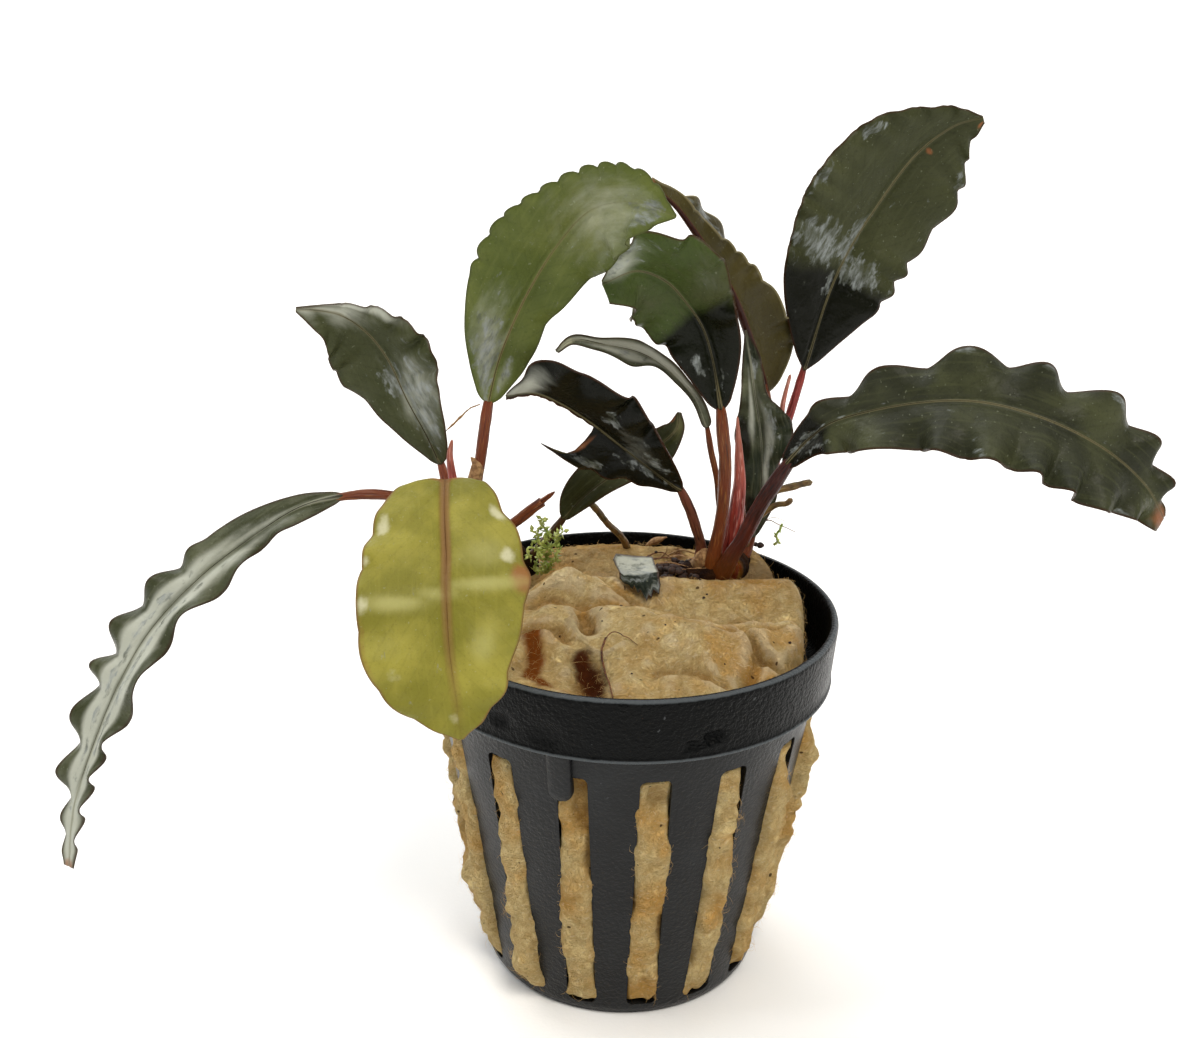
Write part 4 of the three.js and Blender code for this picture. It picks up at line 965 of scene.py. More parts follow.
def leaf_finish(tone, colour, underside=False):
    """Waxy cuticle over leaf flesh, grown: mottled green below a satin skin, with a thin rim of
    its own tone and a ribbed middle. Glossy wet zones are painted near-black as dark reflections,
    and painted sheen and silvery painted reflections stand in for the light the gloss catches."""
    look = LEAF_LOOKS[tone]
    side = "under" if underside else "upper"
    material, tree, mm = blank_finish(f"waxy cuticle on leaf flesh, {tone}, {side} side")
    main = look["under"] if underside else colour
    tinted = mottled(tree, mm, main, look["second"], 7, (0.4, 0.75), 0.8, 3)
    # A leaf's cells are 0.05 mm wide. Their speckle is drawn 0.3 mm wide so that it shows.
    tinted = mottled(tree, mm, tinted, look["deep"], 0.3, (0.5, 0.8), 0.35, 3, 0.7)
    tinted = mottled(tree, mm, tinted, "#a5ab90", 0.4, (0.7, 0.78), 0.2, 1)
    tinted = veined(tree, tinted, look["deep"], 0.1)
    streaks = look.get("streaks", 0.35)
    tinted = mottled(tree, blade_place(tree, 12), tinted, look["second"], 0.5, (0.5, 0.72), streaks)
    # Painted dark reflection: glossy zones that face away from the light are drawn near-black.
    deep = marked(tree, mm, "deep", 3, (0.42, 0.72), 0.95, 0.25)
    warm = marked(tree, mm, "warm", 1.2, (0.5, 1.1), 0.8, ragged=0.4)
    band = marked(tree, mm, "band", 2, (0.2, 1.1), 0.55, 0.3)
    pale = marked(tree, mm, "pale", 1, (0.6, 1.2), 0.8, ragged=0.6)
    # Glossy wet patches: their gloss is real, and their silvery reflection is painted.
    film = painted_leaf_reflections(tree)
    place_on = blade_place(tree, 3)
    sheen = marked(tree, place_on, "sheen", 1.8, (0.4, 1.1), 0.72, 0.6)
    # The colour of the painted reflections, from grey to bluish.
    reflected_silver = mottled(tree, place_on, "#565a50", "#8f9594", 0.9, (0.35, 0.65), detail=5)
    layers = [(warm, "#8f5a38"), (band, "#bcb878"), (pale, "#c9c6a4")]
    if not underside:
        layers = [(deep, look["deep"]), (sheen, "#c4c7ba"), *layers, (film, reflected_silver)]
    for share, layer in layers:
        tinted = node(tree, MIX, {0: share, 6: tinted, 7: layer}, 2, data_type="RGBA")
    tinted = ribbed(tree, tinted, look)
    rim = node(tree, MARK, output="Fac", attribute_name="rim_mm")
    inputs = {"Value": rim, "From Min": 0.05, "From Max": 0.35, "To Min": 0.75, "To Max": 0}
    rim = node(tree, RANGE, inputs, "Result", interpolation_type="SMOOTHSTEP")
    tinted = node(tree, MIX, {0: rim, 6: tinted, 7: look["rim"]}, 2, data_type="RGBA")
    wet = node(tree, MATH, {0: film, 1: deep}, operation="MAXIMUM")
    dull = pattern(tree, mm, 2.2, (0.3, 0.7), (look["roughness"] - 0.05, look["roughness"] + 0.1), 3)
    roughness = node(tree, MATH, {0: wet, 1: -0.14, 2: dull}, operation="MULTIPLY_ADD")
    cells = pattern(tree, mm, 0.35, (0.3, 0.7), detail=3, rough=0.7)
    normal = node(tree, BUMP, {"Height": cells, "Distance": 0.02 * MM})
    swells = pattern(tree, mm, 1.6, (0.2, 0.8))
    normal = node(tree, BUMP, {"Height": swells, "Distance": 0.08 * MM, "Normal": normal})
    return finished(material, tree, tinted, roughness, normal, IOR=1.45, Specular_IOR_Level=0.14)


def stalk_finish(colour, dark="#4a2616", light="#a8743f", name="ribbed rind of a living stalk"):
    """A smooth rind drawn out lengthwise as it grew: fine dark and light streaks, and a browner
    foot."""
    material, tree, mm = blank_finish(name)
    long_streaks = blade_place(tree, 14)
    tinted = mottled(tree, long_streaks, dark, colour, 0.22, (0.3, 0.55), detail=3)
    tinted = mottled(tree, blade_place(tree, 20), tinted, light, 0.12, (0.56, 0.72), 0.6)
    tinted = mottled(tree, mm, tinted, "#7a3222", 5, (0.4, 0.7), 0.3)
    along = node(tree, MARK, output="Fac", attribute_name="along")
    inputs = {"Value": along, "From Min": 0, "From Max": 0.22, "To Min": 0.75, "To Max": 0}
    foot = node(tree, RANGE, inputs, "Result", interpolation_type="SMOOTHSTEP")
    tinted = node(tree, MIX, {0: foot, 6: tinted, 7: "#7d4416"}, 2, data_type="RGBA")
    ribs = pattern(tree, long_streaks, 0.22, (0.3, 0.7), detail=3)
    normal = node(tree, BUMP, {"Height": ribs, "Distance": 0.06 * MM})
    roughness = pattern(tree, mm, 1.2, (0.3, 0.7), (0.3, 0.5))
    return finished(material, tree, tinted, roughness, normal, IOR=1.45, Specular_IOR_Level=0.3)


def bark_finish(colour):
    """The corky rind of an old creeping stem: dark brown, rough and dull, and orange-brown where
    it is fresh round its crown."""
    material, tree, mm = blank_finish("corky rind of a rhizome")
    tinted = mottled(tree, mm, "#1c0f0a", colour, 1.4, (0.35, 0.65), detail=5, rough=0.65)
    fresh = mottled(tree, mm, "#7c3410", "#94702a", 2.4, (0.45, 0.65), 0.8)
    crown = marked(tree, mm, "crown", 2, (0.35, 0.9), 0.8)
    tinted = node(tree, MIX, {0: crown, 6: tinted, 7: fresh}, 2, data_type="RGBA")
    cork = pattern(tree, mm, 0.7, (0.25, 0.75), detail=5, rough=0.65)
    normal = node(tree, BUMP, {"Height": cork, "Distance": 0.25 * MM})
    roughness = pattern(tree, mm, 1.4, (0.3, 0.7), (0.6, 0.85))
    return finished(material, tree, tinted, roughness, normal, IOR=1.4, Specular_IOR_Level=0.08)


def plastic_finish(colour, part, scuffed, shine, peel_depth):
    """Recycled black polypropylene, injection moulded: an orange-peel skin with flow marks, dust
    and dried drops, and a lip painted grey, partly as wear and partly as a painted highlight
    where the rounded edge catches the light. It is satin on the wall and more pebbled on the
    collar, where a darker copy with less shine is painted shade."""
    material, tree, mm = blank_finish(f"injection moulded polypropylene, {part}")
    tinted = mottled(tree, mm, colour, scuffed, 9, (0.45, 0.8), 0.5, 5, 0.6)
    tinted = mottled(tree, mm, tinted, "#6d7072", 0.7, (0.72, 0.8), 0.35)
    # Grey on the lips: partly wear and partly a painted highlight.
    edge = marked(tree, mm, "edge", 1.5, (0.55, 1.1), 0.8, 0.6)
    tinted = node(tree, MIX, {0: edge, 6: tinted, 7: "#54595c"}, 2, data_type="RGBA")
    roughness = pattern(tree, mm, 9, (0.3, 0.75), (0.26, 0.45), 5, 0.6)
    peel = pattern(tree, mm, 0.5, (0.25, 0.75), rough=0.6)
    normal = node(tree, BUMP, {"Height": peel, "Distance": peel_depth * MM})
    drawn_down = node(tree, VECTOR, {0: mm, 1: (1, 1, 0.08)}, operation="MULTIPLY")
    flow = pattern(tree, drawn_down, 0.5, (0.2, 0.8))
    normal = node(tree, BUMP, {"Height": flow, "Distance": 0.01 * MM, "Normal": normal})
    return finished(material, tree, tinted, roughness, normal, IOR=1.49, Specular_IOR_Level=shine)


def wool_finish(clean, stain):
    """Spun rock wool, felted and soaked: matted fibres with brown stains, a painted highlight where
    the fibres and crests stand up, and painted shade, darker and yellower, in the folds. A fibre is
    0.01 mm thick, and its streaks are drawn 0.2 mm wide so that they show."""
    material, tree, mm = blank_finish("felted rock wool, soaked")
    warp = node(tree, NOISE, {"Vector": mm, "Scale": 0.2}, "Color")
    warp = node(tree, VECTOR, {0: warp, 1: (5, 5, 5)}, operation="MULTIPLY")
    bent = node(tree, VECTOR, {0: mm, 1: warp}, operation="ADD")
    along_x = node(tree, VECTOR, {0: bent, 1: (0.3, 1, 1)}, operation="MULTIPLY")
    along_y = node(tree, VECTOR, {0: bent, 1: (1, 0.3, 1)}, operation="MULTIPLY")
    strands = pattern(tree, along_x, 0.22, (0.35, 0.75), detail=4, rough=0.7)
    crossed = pattern(tree, along_y, 0.22, (0.35, 0.75), detail=4, rough=0.7)
    mat = node(tree, MATH, {0: strands, 1: crossed}, operation="MAXIMUM")
    tufts = pattern(tree, bent, 1.1, (0.3, 0.7), detail=5, rough=0.65)
    tinted = mottled(tree, mm, clean, "#ecb562", 6, (0.42, 0.72), detail=4)
    tinted = mottled(tree, mm, tinted, "#b17d30", 2.4, (0.47, 0.77), 0.55, 5, 0.65)
    # Painted shade: darker between the tufts, where their bump is low.
    darker = node(tree, RANGE, {"Value": tufts, "To Min": 0.5, "To Max": 0}, "Result")
    tinted = node(tree, MIX, {0: darker, 6: tinted, 7: "#bb8f4c"}, 2, data_type="RGBA")
    shaded = node(tree, RANGE, {"Value": mat, "From Min": 0.2, "From Max": 0.8, "To Min": 0.4,
                                "To Max": 0}, "Result")
    tinted = node(tree, MIX, {0: shaded, 6: tinted, 7: "#c09a58"}, 2, data_type="RGBA")
    tinted = mottled(tree, along_x, tinted, "#fcecc6", 0.25, (0.56, 0.72), 0.4, 3)
    # ridge paints a highlight on the crests, and hollow paints shade in the folds and the slots'
    # hollows. The stain and dark marks lay brown and dark red-brown over given places.
    for mark, layer, span, most in (("ridge", "#fdebc4", (0.4, 1.5), 0.45),
                                    ("hollow", "#8f6024", (0.6, 1.7), 0.6),
                                    ("stain", stain, (0.55, 1.25), 1),
                                    ("dark", "#55290e", (0.6, 1.3), 1)):
        share = marked(tree, bent, mark, 1.5, span, most, 0.8, 5)
        tinted = node(tree, MIX, {0: share, 6: tinted, 7: layer}, 2, data_type="RGBA")
    tinted = mottled(tree, mm, tinted, "#4a3018", 0.9, (0.82, 0.85), 0.9, 0)
    normal = node(tree, BUMP, {"Height": tufts, "Distance": 0.6 * MM})
    normal = node(tree, BUMP, {"Height": mat, "Distance": 0.22 * MM, "Normal": normal})
    return finished(material, tree, tinted, 0.9, normal, IOR=1.3, Specular_IOR_Level=0.2)


def fibre_finish(clean):
    """A loose strand of spun rock: glassy and straw-coloured, and slightly rippled."""
    material, tree, mm = blank_finish("spun rock fibre")
    tinted = mottled(tree, mm, clean, "#dcb577", 4, (0.35, 0.65))
    ripple = pattern(tree, mm, 0.3, (0.3, 0.7))
    normal = node(tree, BUMP, {"Height": ripple, "Distance": 0.01 * MM})
    return finished(material, tree, tinted, 0.6, normal, IOR=1.5)


def young_finish(colour):
    """A rolled young leaf: tender skin with streaks from pink to deep red, paler at its tip."""
    material, tree, _ = blank_finish("tender skin of a rolled young leaf")
    long_streaks = blade_place(tree, 10)
    tinted = mottled(tree, long_streaks, colour, "#6b1d18", 0.3, (0.35, 0.65), detail=3)
    along = node(tree, MARK, output="Fac", attribute_name="along")
    inputs = {"Value": along, "From Min": 0.5, "From Max": 1, "To Min": 0, "To Max": 0.6}
    tip = node(tree, RANGE, inputs, "Result")
    tinted = node(tree, MIX, {0: tip, 6: tinted, 7: "#b57a63"}, 2, data_type="RGBA")
    tinted = mottled(tree, blade_place(tree, 16), tinted, "#e3a596", 0.15, (0.56, 0.7), 0.5)
    ribs = pattern(tree, long_streaks, 0.3, (0.3, 0.7), detail=3)
    normal = node(tree, BUMP, {"Height": ribs, "Distance": 0.04 * MM})
    return finished(material, tree, tinted, 0.35, normal, IOR=1.45, Specular_IOR_Level=0.35)


def root_finish(colour):
    """A bare water root: thin olive skin over a woody core, scuffed brown in places."""
    material, tree, mm = blank_finish("thin skin of a water root")
    tinted = mottled(tree, mm, colour, "#4a3a20", 1.6, (0.4, 0.65), detail=4)
    tinted = mottled(tree, blade_place(tree, 10), tinted, "#9a9150", 0.15, (0.5, 0.7), 0.45)
    skin = pattern(tree, blade_place(tree, 10), 0.15, (0.3, 0.7))
    normal = node(tree, BUMP, {"Height": skin, "Distance": 0.04 * MM})
    return finished(material, tree, tinted, 0.5, normal, IOR=1.45)


def moss_finish(colour):
    """Fresh moss, wet: thin leaflets, bright green and glossy, in two greens."""
    material, tree, mm = blank_finish("wet leaflets of moss")
    tinted = mottled(tree, mm, colour, "#7d9436", 1.2, (0.35, 0.7), detail=3)
    cells = pattern(tree, mm, 0.2, (0.3, 0.7))
    normal = node(tree, BUMP, {"Height": cells, "Distance": 0.02 * MM})
    return finished(material, tree, tinted, 0.3, normal, IOR=1.4)


def husk_finish(name, colour, second):
    """Dead plant skin, dried: dull, in two browns, with darker fibres along its length."""
    material, tree, mm = blank_finish(name)
    tinted = mottled(tree, mm, colour, second, 0.5, (0.35, 0.65), detail=4)
    tinted = mottled(tree, blade_place(tree, 10), tinted, "#3a2414", 0.15, (0.55, 0.72), 0.5)
    fibres = pattern(tree, blade_place(tree, 10), 0.15, (0.3, 0.7), detail=3)
    normal = node(tree, BUMP, {"Height": fibres, "Distance": 0.05 * MM})
    return finished(material, tree, tinted, 0.7, normal, IOR=1.45)


def paper_finish():
    """Studio backdrop paper, matt coated: an even pale sweep with a trace of pulp in it."""
    material, tree, mm = blank_finish("matt coated backdrop paper")
    tinted = mottled(tree, mm, "#fdfdfc", "#fafaf8", 30, (0.3, 0.7))
    pulp = pattern(tree, mm, 0.6, (0.2, 0.8))
    normal = node(tree, BUMP, {"Height": pulp, "Distance": 0.01 * MM})
    return finished(material, tree, tinted, 0.9, normal, IOR=1.45)


# The net pot. Angles run from the front towards the right.

FIRST_SLOT_DEGREES = 9.2
SLOT_CORNER = 0.8
BASE_SLOT_REACH = (8.5, 15)
BASE_SLOT_HALF_WIDTH = 1
TAB_DEGREES = -18
TAB_HALF_WIDTH = 1.5
TAB_LENGTH = 7
TAB_THICKNESS = 1.7
# Columns left of a slot, across it and right of it.
SLOT_COLUMNS = (6, 6, 6)
# Rows of the profile before the base slots, across them and round the foot.
CENTRE_ROWS = 2
BASE_ROWS = 7
FOOT_ROWS = 3
COLLAR_ROWS = 22
INNER_COLLAR_ROWS = 5
MOULDED_ROUNDING = 0.12


def pot_sizes(settings):
    """The pot's sizes in millimetres, and its number of slots."""
    names = ("rim_radius", "height", "foot_radius", "shoulder_radius", "collar_foot_radius",
             "collar_bottom", "wall", "slot_width", "slot_bottom", "slot_top")
    sizes = dict(zip(names, in_mm(settings.pot, *names)))
    sizes["slots"] = settings.pot.slot_count
    return sizes


def wall_radius(sizes, z):
    """Outer radius of the tapered wall at a height."""
    return mix(sizes["foot_radius"], sizes["shoulder_radius"], np.asarray(z) / sizes["collar_bottom"])


def slot_heights(sizes):
    """Heights of the rows of a side slot, close together at its round corners."""
    low, high = sizes["slot_bottom"], sizes["slot_top"]
    corner = SLOT_CORNER * (1 - np.cos(np.linspace(0, np.pi / 2, 5)))
    middle = np.linspace(low + SLOT_CORNER, high - SLOT_CORNER, 24)[1:-1]
    return np.concatenate([low + corner, middle, (high - corner)[::-1]])


def slot_half_width(sizes, z):
    """Half of the slot's width at each height, drawn in round the corners."""
    near = np.minimum(z - sizes["slot_bottom"], sizes["slot_top"] - z)
    near = np.clip(SLOT_CORNER - near, 0, SLOT_CORNER)
    return sizes["slot_width"] / 2 - (SLOT_CORNER - np.sqrt(SLOT_CORNER ** 2 - near ** 2))


def pot_profile(sizes):
    """Outer and inner rows of the pot as [radius, height, half width of the opening there]."""
    wall = sizes["wall"]
    narrow = sizes["slot_width"] / 2 - SLOT_CORNER
    inner_base, outer_base = BASE_SLOT_REACH
    base = np.concatenate([[3, 6], np.linspace(inner_base, outer_base, BASE_ROWS)])
    foot = sizes["foot_radius"]
    # The base and the rounded foot.
    outer = [[r, 0, BASE_SLOT_HALF_WIDTH] for r in base]
    outer += [[foot - 1.1, 0, narrow], [foot - 0.3, 0.3, narrow]]
    outer += [[wall_radius(sizes, 1.1), 1.1, narrow]]
    inner = [[r, wall, BASE_SLOT_HALF_WIDTH] for r in base]
    inner += [[foot - 1.7, wall, narrow], [wall_radius(sizes, 1.3) - wall, 1.2, narrow]]
    inner += [[wall_radius(sizes, 1.5) - wall, 1.5, narrow]]
    # The wall beside the side slots.
    for z in slot_heights(sizes):
        half = float(slot_half_width(sizes, z))
        outer.append([wall_radius(sizes, z), z, half])
        inner.append([wall_radius(sizes, z) - wall, z, half])
    collar, height, rim = sizes["collar_bottom"], sizes["height"], sizes["rim_radius"]
    shoulder, skirt = sizes["shoulder_radius"], sizes["collar_foot_radius"]
    # The wall above the slots, the collar's lower lip, the collar and the rim.
    above_slots = (37.5, 38.7, collar - 0.25)
    outer += [[wall_radius(sizes, z), z, narrow] for z in above_slots]
    outer += [[shoulder + 0.25, collar, narrow], [skirt - 0.2, collar, narrow],
              [skirt + 0.16, collar + 0.1, narrow], [skirt + 0.2, collar + 0.3, narrow],
              [skirt + 0.04, collar + 0.55, narrow]]
    for share in np.linspace(0.12, 1, COLLAR_ROWS):
        outer.append([mix(skirt, rim, share), mix(collar, height - 0.5, share), narrow])
    outer += [[rim - 0.12, height - 0.14, narrow], [rim - 0.4, height, narrow]]
    inner += [[wall_radius(sizes, z) - wall, z, narrow] for z in above_slots]
    inner += [[shoulder - wall + 0.1, collar + 0.1, narrow], [rim - 1.7, collar + 0.8, narrow],
              [rim - 1.4, collar + 1.3, narrow]]
    for share in np.linspace(0.2, 0.94, INNER_COLLAR_ROWS):
        inner.append([mix(rim - 1.4, rim - 1, share), mix(collar + 1.2, height, share), narrow])
    inner += [[rim - 0.93, height - 0.12, narrow], [rim - 0.8, height, narrow]]
    return np.array(outer), np.array(inner)


def sector_angles(sizes, row, columns=SLOT_COLUMNS):
    """Angles of one row's points, with columns that keep to the edges of every slot."""
    radius, _, half = row
    pitch = 2 * np.pi / sizes["slots"]
    edge = math.asin(min(half / radius, 0.9 * math.sin(pitch / 2)))
    left, middle, right = columns
    shares = np.concatenate([
        np.linspace(-pitch / 2, -edge, left, endpoint=False),
        np.linspace(-edge, edge, middle, endpoint=False),
        np.linspace(edge, pitch / 2, right, endpoint=False),
    ])
    starts = math.radians(FIRST_SLOT_DEGREES) + pitch * np.arange(sizes["slots"])
    return (starts[:, None] + shares[None]).ravel()


def around(radius, angle, z):
    """Points at an angle from the front towards the right."""
    return np.stack([radius * np.sin(angle), -radius * np.cos(angle),
                     np.broadcast_to(z, np.shape(angle))], -1)


def pot_shell(sizes):
    """The cup with its openings: an outer and an inner skin, joined round every slot."""
    outer, inner = pot_profile(sizes)
    rows = np.vstack([outer, inner[::-1]])
    points = np.vstack([around(row[0], sector_angles(sizes, row), row[1]) for row in rows])
    columns = sum(SLOT_COLUMNS) * sizes["slots"]
    faces = grid_faces(len(rows), columns, True).reshape(len(rows) - 1, columns, 4)
    last = len(rows) - 1
    keep = np.ones(faces.shape[:2], bool)
    walls = []
    for slot in range(sizes["slots"]):
        left = slot * sum(SLOT_COLUMNS) + SLOT_COLUMNS[0]
        right = left + SLOT_COLUMNS[1]
        for low, high in opening_rows(sizes):
            keep[low:high, left:right] = False
            keep[last - high:last - low, left:right] = False
            walls += slot_walls(low, high, last - low, left, right, columns)
    discs = [np.arange(columns)[None] + row * columns for row in (0, last)]
    return points, [faces[keep], np.array(walls), *discs]


def opening_rows(sizes):
    """First and last row of the base slots and of the side slots, alike in both skins."""
    first_side = CENTRE_ROWS + BASE_ROWS + FOOT_ROWS
    return ((CENTRE_ROWS, CENTRE_ROWS + BASE_ROWS - 1),
            (first_side, first_side + len(slot_heights(sizes)) - 1))


def slot_walls(low, high, inner_low, left, right, columns):
    """Quads that join the two skins round one opening."""
    walls = []
    for row in range(low, high):
        across = inner_low - (row - low)
        for column in (left, right):
            walls.append([row * columns + column, (row + 1) * columns + column,
                          (across - 1) * columns + column, across * columns + column])
    inner_high = inner_low - (high - low)
    for row, across in ((low, inner_low), (high, inner_high)):
        for column in range(left, right):
            walls.append([row * columns + column, row * columns + column + 1,
                          across * columns + column + 1, across * columns + column])
    return walls


def tab_skin(sizes):
    """The moulded tongue that hangs from the collar, along the wall's slope."""
    z = np.linspace(sizes["collar_bottom"] + 0.2, sizes["collar_bottom"] - TAB_LENGTH, 26)
    end = z[-1] + TAB_HALF_WIDTH
    below = np.clip((end - z) / TAB_HALF_WIDTH, 0, 0.999)
    half = TAB_HALF_WIDTH * np.sqrt(1 - below ** 2)
    turn = np.linspace(0, 2 * np.pi, 20, endpoint=False)
    across = np.sign(np.cos(turn)) * np.abs(np.cos(turn)) ** 0.6
    deep = np.sign(np.sin(turn)) * np.abs(np.sin(turn)) ** 0.6
    side = half[:, None] * across[None]
    thick = TAB_THICKNESS / 2 * (0.35 + 0.65 * half / TAB_HALF_WIDTH)
    reach = wall_radius(sizes, z)[:, None] + thick[:, None] * deep[None] + 0.05
    angle = math.radians(TAB_DEGREES)
    out = np.array([math.sin(angle), -math.cos(angle), 0])
    aside = np.array([math.cos(angle), math.sin(angle), 0])
    points = out * reach[..., None] + aside * side[..., None]
    points[..., 2] = z[:, None]
    rows, columns = side.shape
    caps = [np.arange(columns)[None], np.arange(columns)[None] + (rows - 1) * columns]
    return points.reshape(-1, 3), [grid_faces(rows, columns, True), *caps]


# Dents of the mould's ejectors and sinks in the collar: [degrees from the front, height, half
# width, half height, depth].
COLLAR_DENTS = [[-20, 42.6, 1.9, 1.5, 0.4], [-33, 43, 1.2, 0.9, 0.45], [22, 42.6, 1.1, 0.7, 0.7],
                [17, 42, 0.8, 0.6, 0.5], [24, 43.1, 0.6, 0.5, 0.5], [95, 43, 1.6, 1.2, 0.25],
                [150, 42.5, 1.8, 1.2, 0.25], [-95, 42.6, 1.4, 1, 0.3], [-150, 43.2, 1.6, 1, 0.2]]
# Only points between and beyond these radii are pressed in: they lie on the collar's outside.
COLLAR_OUTSIDE = (25, 25.3)


def dented(points):
    """Presses shallow dents into the outside of the collar, and makes it a little uneven."""
    radius = np.hypot(points[:, 0], points[:, 1])
    angle = np.degrees(np.arctan2(points[:, 0], -points[:, 1]))
    change = 0.05 * noise(points, 7, SEED) - 0.02
    for where, height, half_width, half_height, depth in COLLAR_DENTS:
        aside = np.radians((angle - where + 180) % 360 - 180) * radius
        near = (aside / half_width) ** 2 + ((points[:, 2] - height) / half_height) ** 2
        change = change - depth * np.exp(-near ** 2)
    outside = smooth(radius, *COLLAR_OUTSIDE)
    shift = 1 + change * outside / radius
    return points * np.stack([shift, shift, np.ones_like(shift)], -1)


# The rock wool

# Columns left of a slot, across it and right of it.
WOOL_COLUMNS = (4, 20, 4)
WOOL_SIDE_ROWS = 84
SHOULDER_ROWS = 8
WOOL_TOP_ROWS = 64
STRAND_ROWS = 5
STRAND_LENGTHS = (0.5, 1.6)
STRAND_FOOT_DEPTH = 0.08
# The wool's side lies this far inside the pot's wall, but for the slots.
WOOL_GAP = 0.3
# Above this height the wool's skin faces up, and below it the skin faces out.
TOP_LEVEL = 44
# Each roll is [x1, y1, x2, y2, half width, height].
WOOL_ROLLS = [[-7, 1.6, 20, 2.2, 4.3, 3.9], [-14, 0, -9, 1, 3.5, 1.4], [0.8, 0.6, 1.4, 0.4, 2, -1],
              [-8, -9, 6, -11, 6, 2.6], [-3, -6, 0.6, -6.4, 2.6, 1.6], [6, -9.6, 12, -10, 4.6, 1.5],
              [14, -12, 22, -4, 3.3, 1.2], [15, -7, 22, -6.4, 1.8, 1.1], [-14, 9, 12, 9.5, 2.5, -1.5],
              [-14, 17, 12, 18, 5.5, 1.6], [15, 13, 18, 13, 4, 3.8], [-9.5, 5.5, -2, 7, 2.4, 0.9],
              [-13, -5.5, -7.5, -6, 2.4, 1.1], [3, -12, 9, -15, 2.6, 0.8]]
# Creases and marks are routes across the top: ([[x, y], ...], half width, depth or strength).
WOOL_CREASES = [
    ([[-26, 4.1], [-14, 3], [-8.6, 8.5], [-2, 10.7], [8, 8.5], [15, 8], [20.4, 9.6], [27, 9]],
     0.9, 2.2),
    ([[-20, -4.5], [-14.4, -2.8], [-10.3, -1.2], [-4.5, -2.6], [1.8, -2.4], [7.4, -3.5],
      [12.6, -4.4], [23.1, -3.7]], 0.9, 1.7),
    ([[13.7, -9.6], [15.5, -12.2], [16.7, -13.7], [18, -14], [20.3, -11.1], [22.4, -8.6]], 0.7, 1.9),
    ([[13.4, -8.4], [17.6, -6.7], [23.7, -4.9]], 0.55, 0.9),
    ([[14.8, -12.6], [14.3, -16.1], [13.1, -19.8]], 0.9, 1.2),
    ([[-5.5, -4.8], [-4.9, -8], [-4.3, -10.4]], 0.9, 2.8),
    ([[-6.4, -8.9], [-5.8, -11.7], [-4.2, -13.5], [-2.6, -14.9], [0.1, -13.6]], 0.45, -1),
    ([[-11, -14], [-8.5, -18.5], [-5.5, -19.5]], 2.6, 1.9),
    ([[-5, -15.5], [-3.4, -18.5], [-3, -22]], 1.7, 1.6),
    ([[-12.5, -8.5], [-8.5, -9.5], [-6.8, -12]], 0.6, 1),
    ([[2, -6.5], [6, -8], [12, -10.5]], 0.6, 0.9),
    ([[4, -17], [8, -16.5], [11.5, -18.5]], 0.7, 0.8),
    ([[-4, 3.4], [-1.5, 0.5], [1.5, -1.8]], 0.6, 0.7),
]
WOOL_MARKS = {
    "stain": [([[-11.3, -10], [-10.5, -13.9], [-11, -16.2], [-9.3, -19]], 1.2, 1),
              ([[-6.5, -20.5], [-4, -20]], 1.1, 0.6), ([[-9, 5], [-3, 6.5]], 1.6, 0.35),
              ([[-1, -4], [2.5, -4.5]], 1.2, 0.35)],
    "dark": [([[-5.2, -14.8], [-3.4, -18], [-3.4, -22]], 1.5, 1),
             ([[4.5, 9.5], [6, 13], [6.5, 18]], 2.2, 0.7), ([[-9.4, 8.6], [-7.4, 9.6]], 0.9, 0.8),
             ([[9, 7.6], [13, 8.2]], 1.2, 0.6)],
}
# How far the wool swells out through a slot, at its bottom, middle and top. Slots are numbered
# from the front towards the right.
PLAIN_SWELL = (0.25, 0.5, 0.15)
SLOT_SWELLS = {1: (0.4, 0.9, 0.5), 2: (0.5, 1.1, 0.9), 3: (0.4, 1.2, 2), 11: (0.8, 1.1, 0.5),
               12: (0.7, 0.8, 0.3), 13: (1, 0.6, 0.4), 14: (0.4, 0.5, 0.2)}
SWELL_HEIGHTS = (1.8, 5, 12, 20, 31, 36.5)
# How far the wool lies in at both ends of a slot.
SLOT_END_DEPTH = 0.4
# Hollows in the slots' wool: [slot, mm right of its middle, height, half width, half height,
# depth]. A depth below nothing is a lump.
SLOT_HOLLOWS = [[14, 1, 33, 1.1, 3.2, 2.6], [14, 1.5, 25, 0.6, 3, 1.6], [13, 0.9, 5.4, 1.5, 2.8, -1.4],
                [13, -1.5, 27, 0.5, 4, 1.4], [0, 0.3, 34, 1.4, 2, 1.2], [0, 1.6, 14, 0.5, 4, 1.2],
                [1, 1.5, 31, 0.6, 4, 1.3], [1, -1.5, 9, 0.6, 3, 1], [2, 1.3, 33, 0.7, 2.4, 1.5],
                [12, -0.6, 14, 1.6, 2.4, -1.2], [6, 0.8, 22, 0.9, 4, 1.4], [8, -0.8, 12, 0.9, 3, 1.4],
                [4, 0, 18, 1.5, 3, -0.9], [9, 0, 26, 1.4, 3, -0.8]]


def route_distance(x, y, route):
    """How far each place lies from a route of straight stretches."""
    nearest = np.full(np.shape(x), np.inf)
    for (x1, y1), (x2, y2) in zip(route, route[1:]):
        along_x, along_y = x2 - x1, y2 - y1
        share = ((x - x1) * along_x + (y - y1) * along_y) / (along_x ** 2 + along_y ** 2)
        share = np.clip(share, 0, 1)
        nearest = np.minimum(nearest, np.hypot(x - x1 - share * along_x, y - y1 - share * along_y))
    return nearest


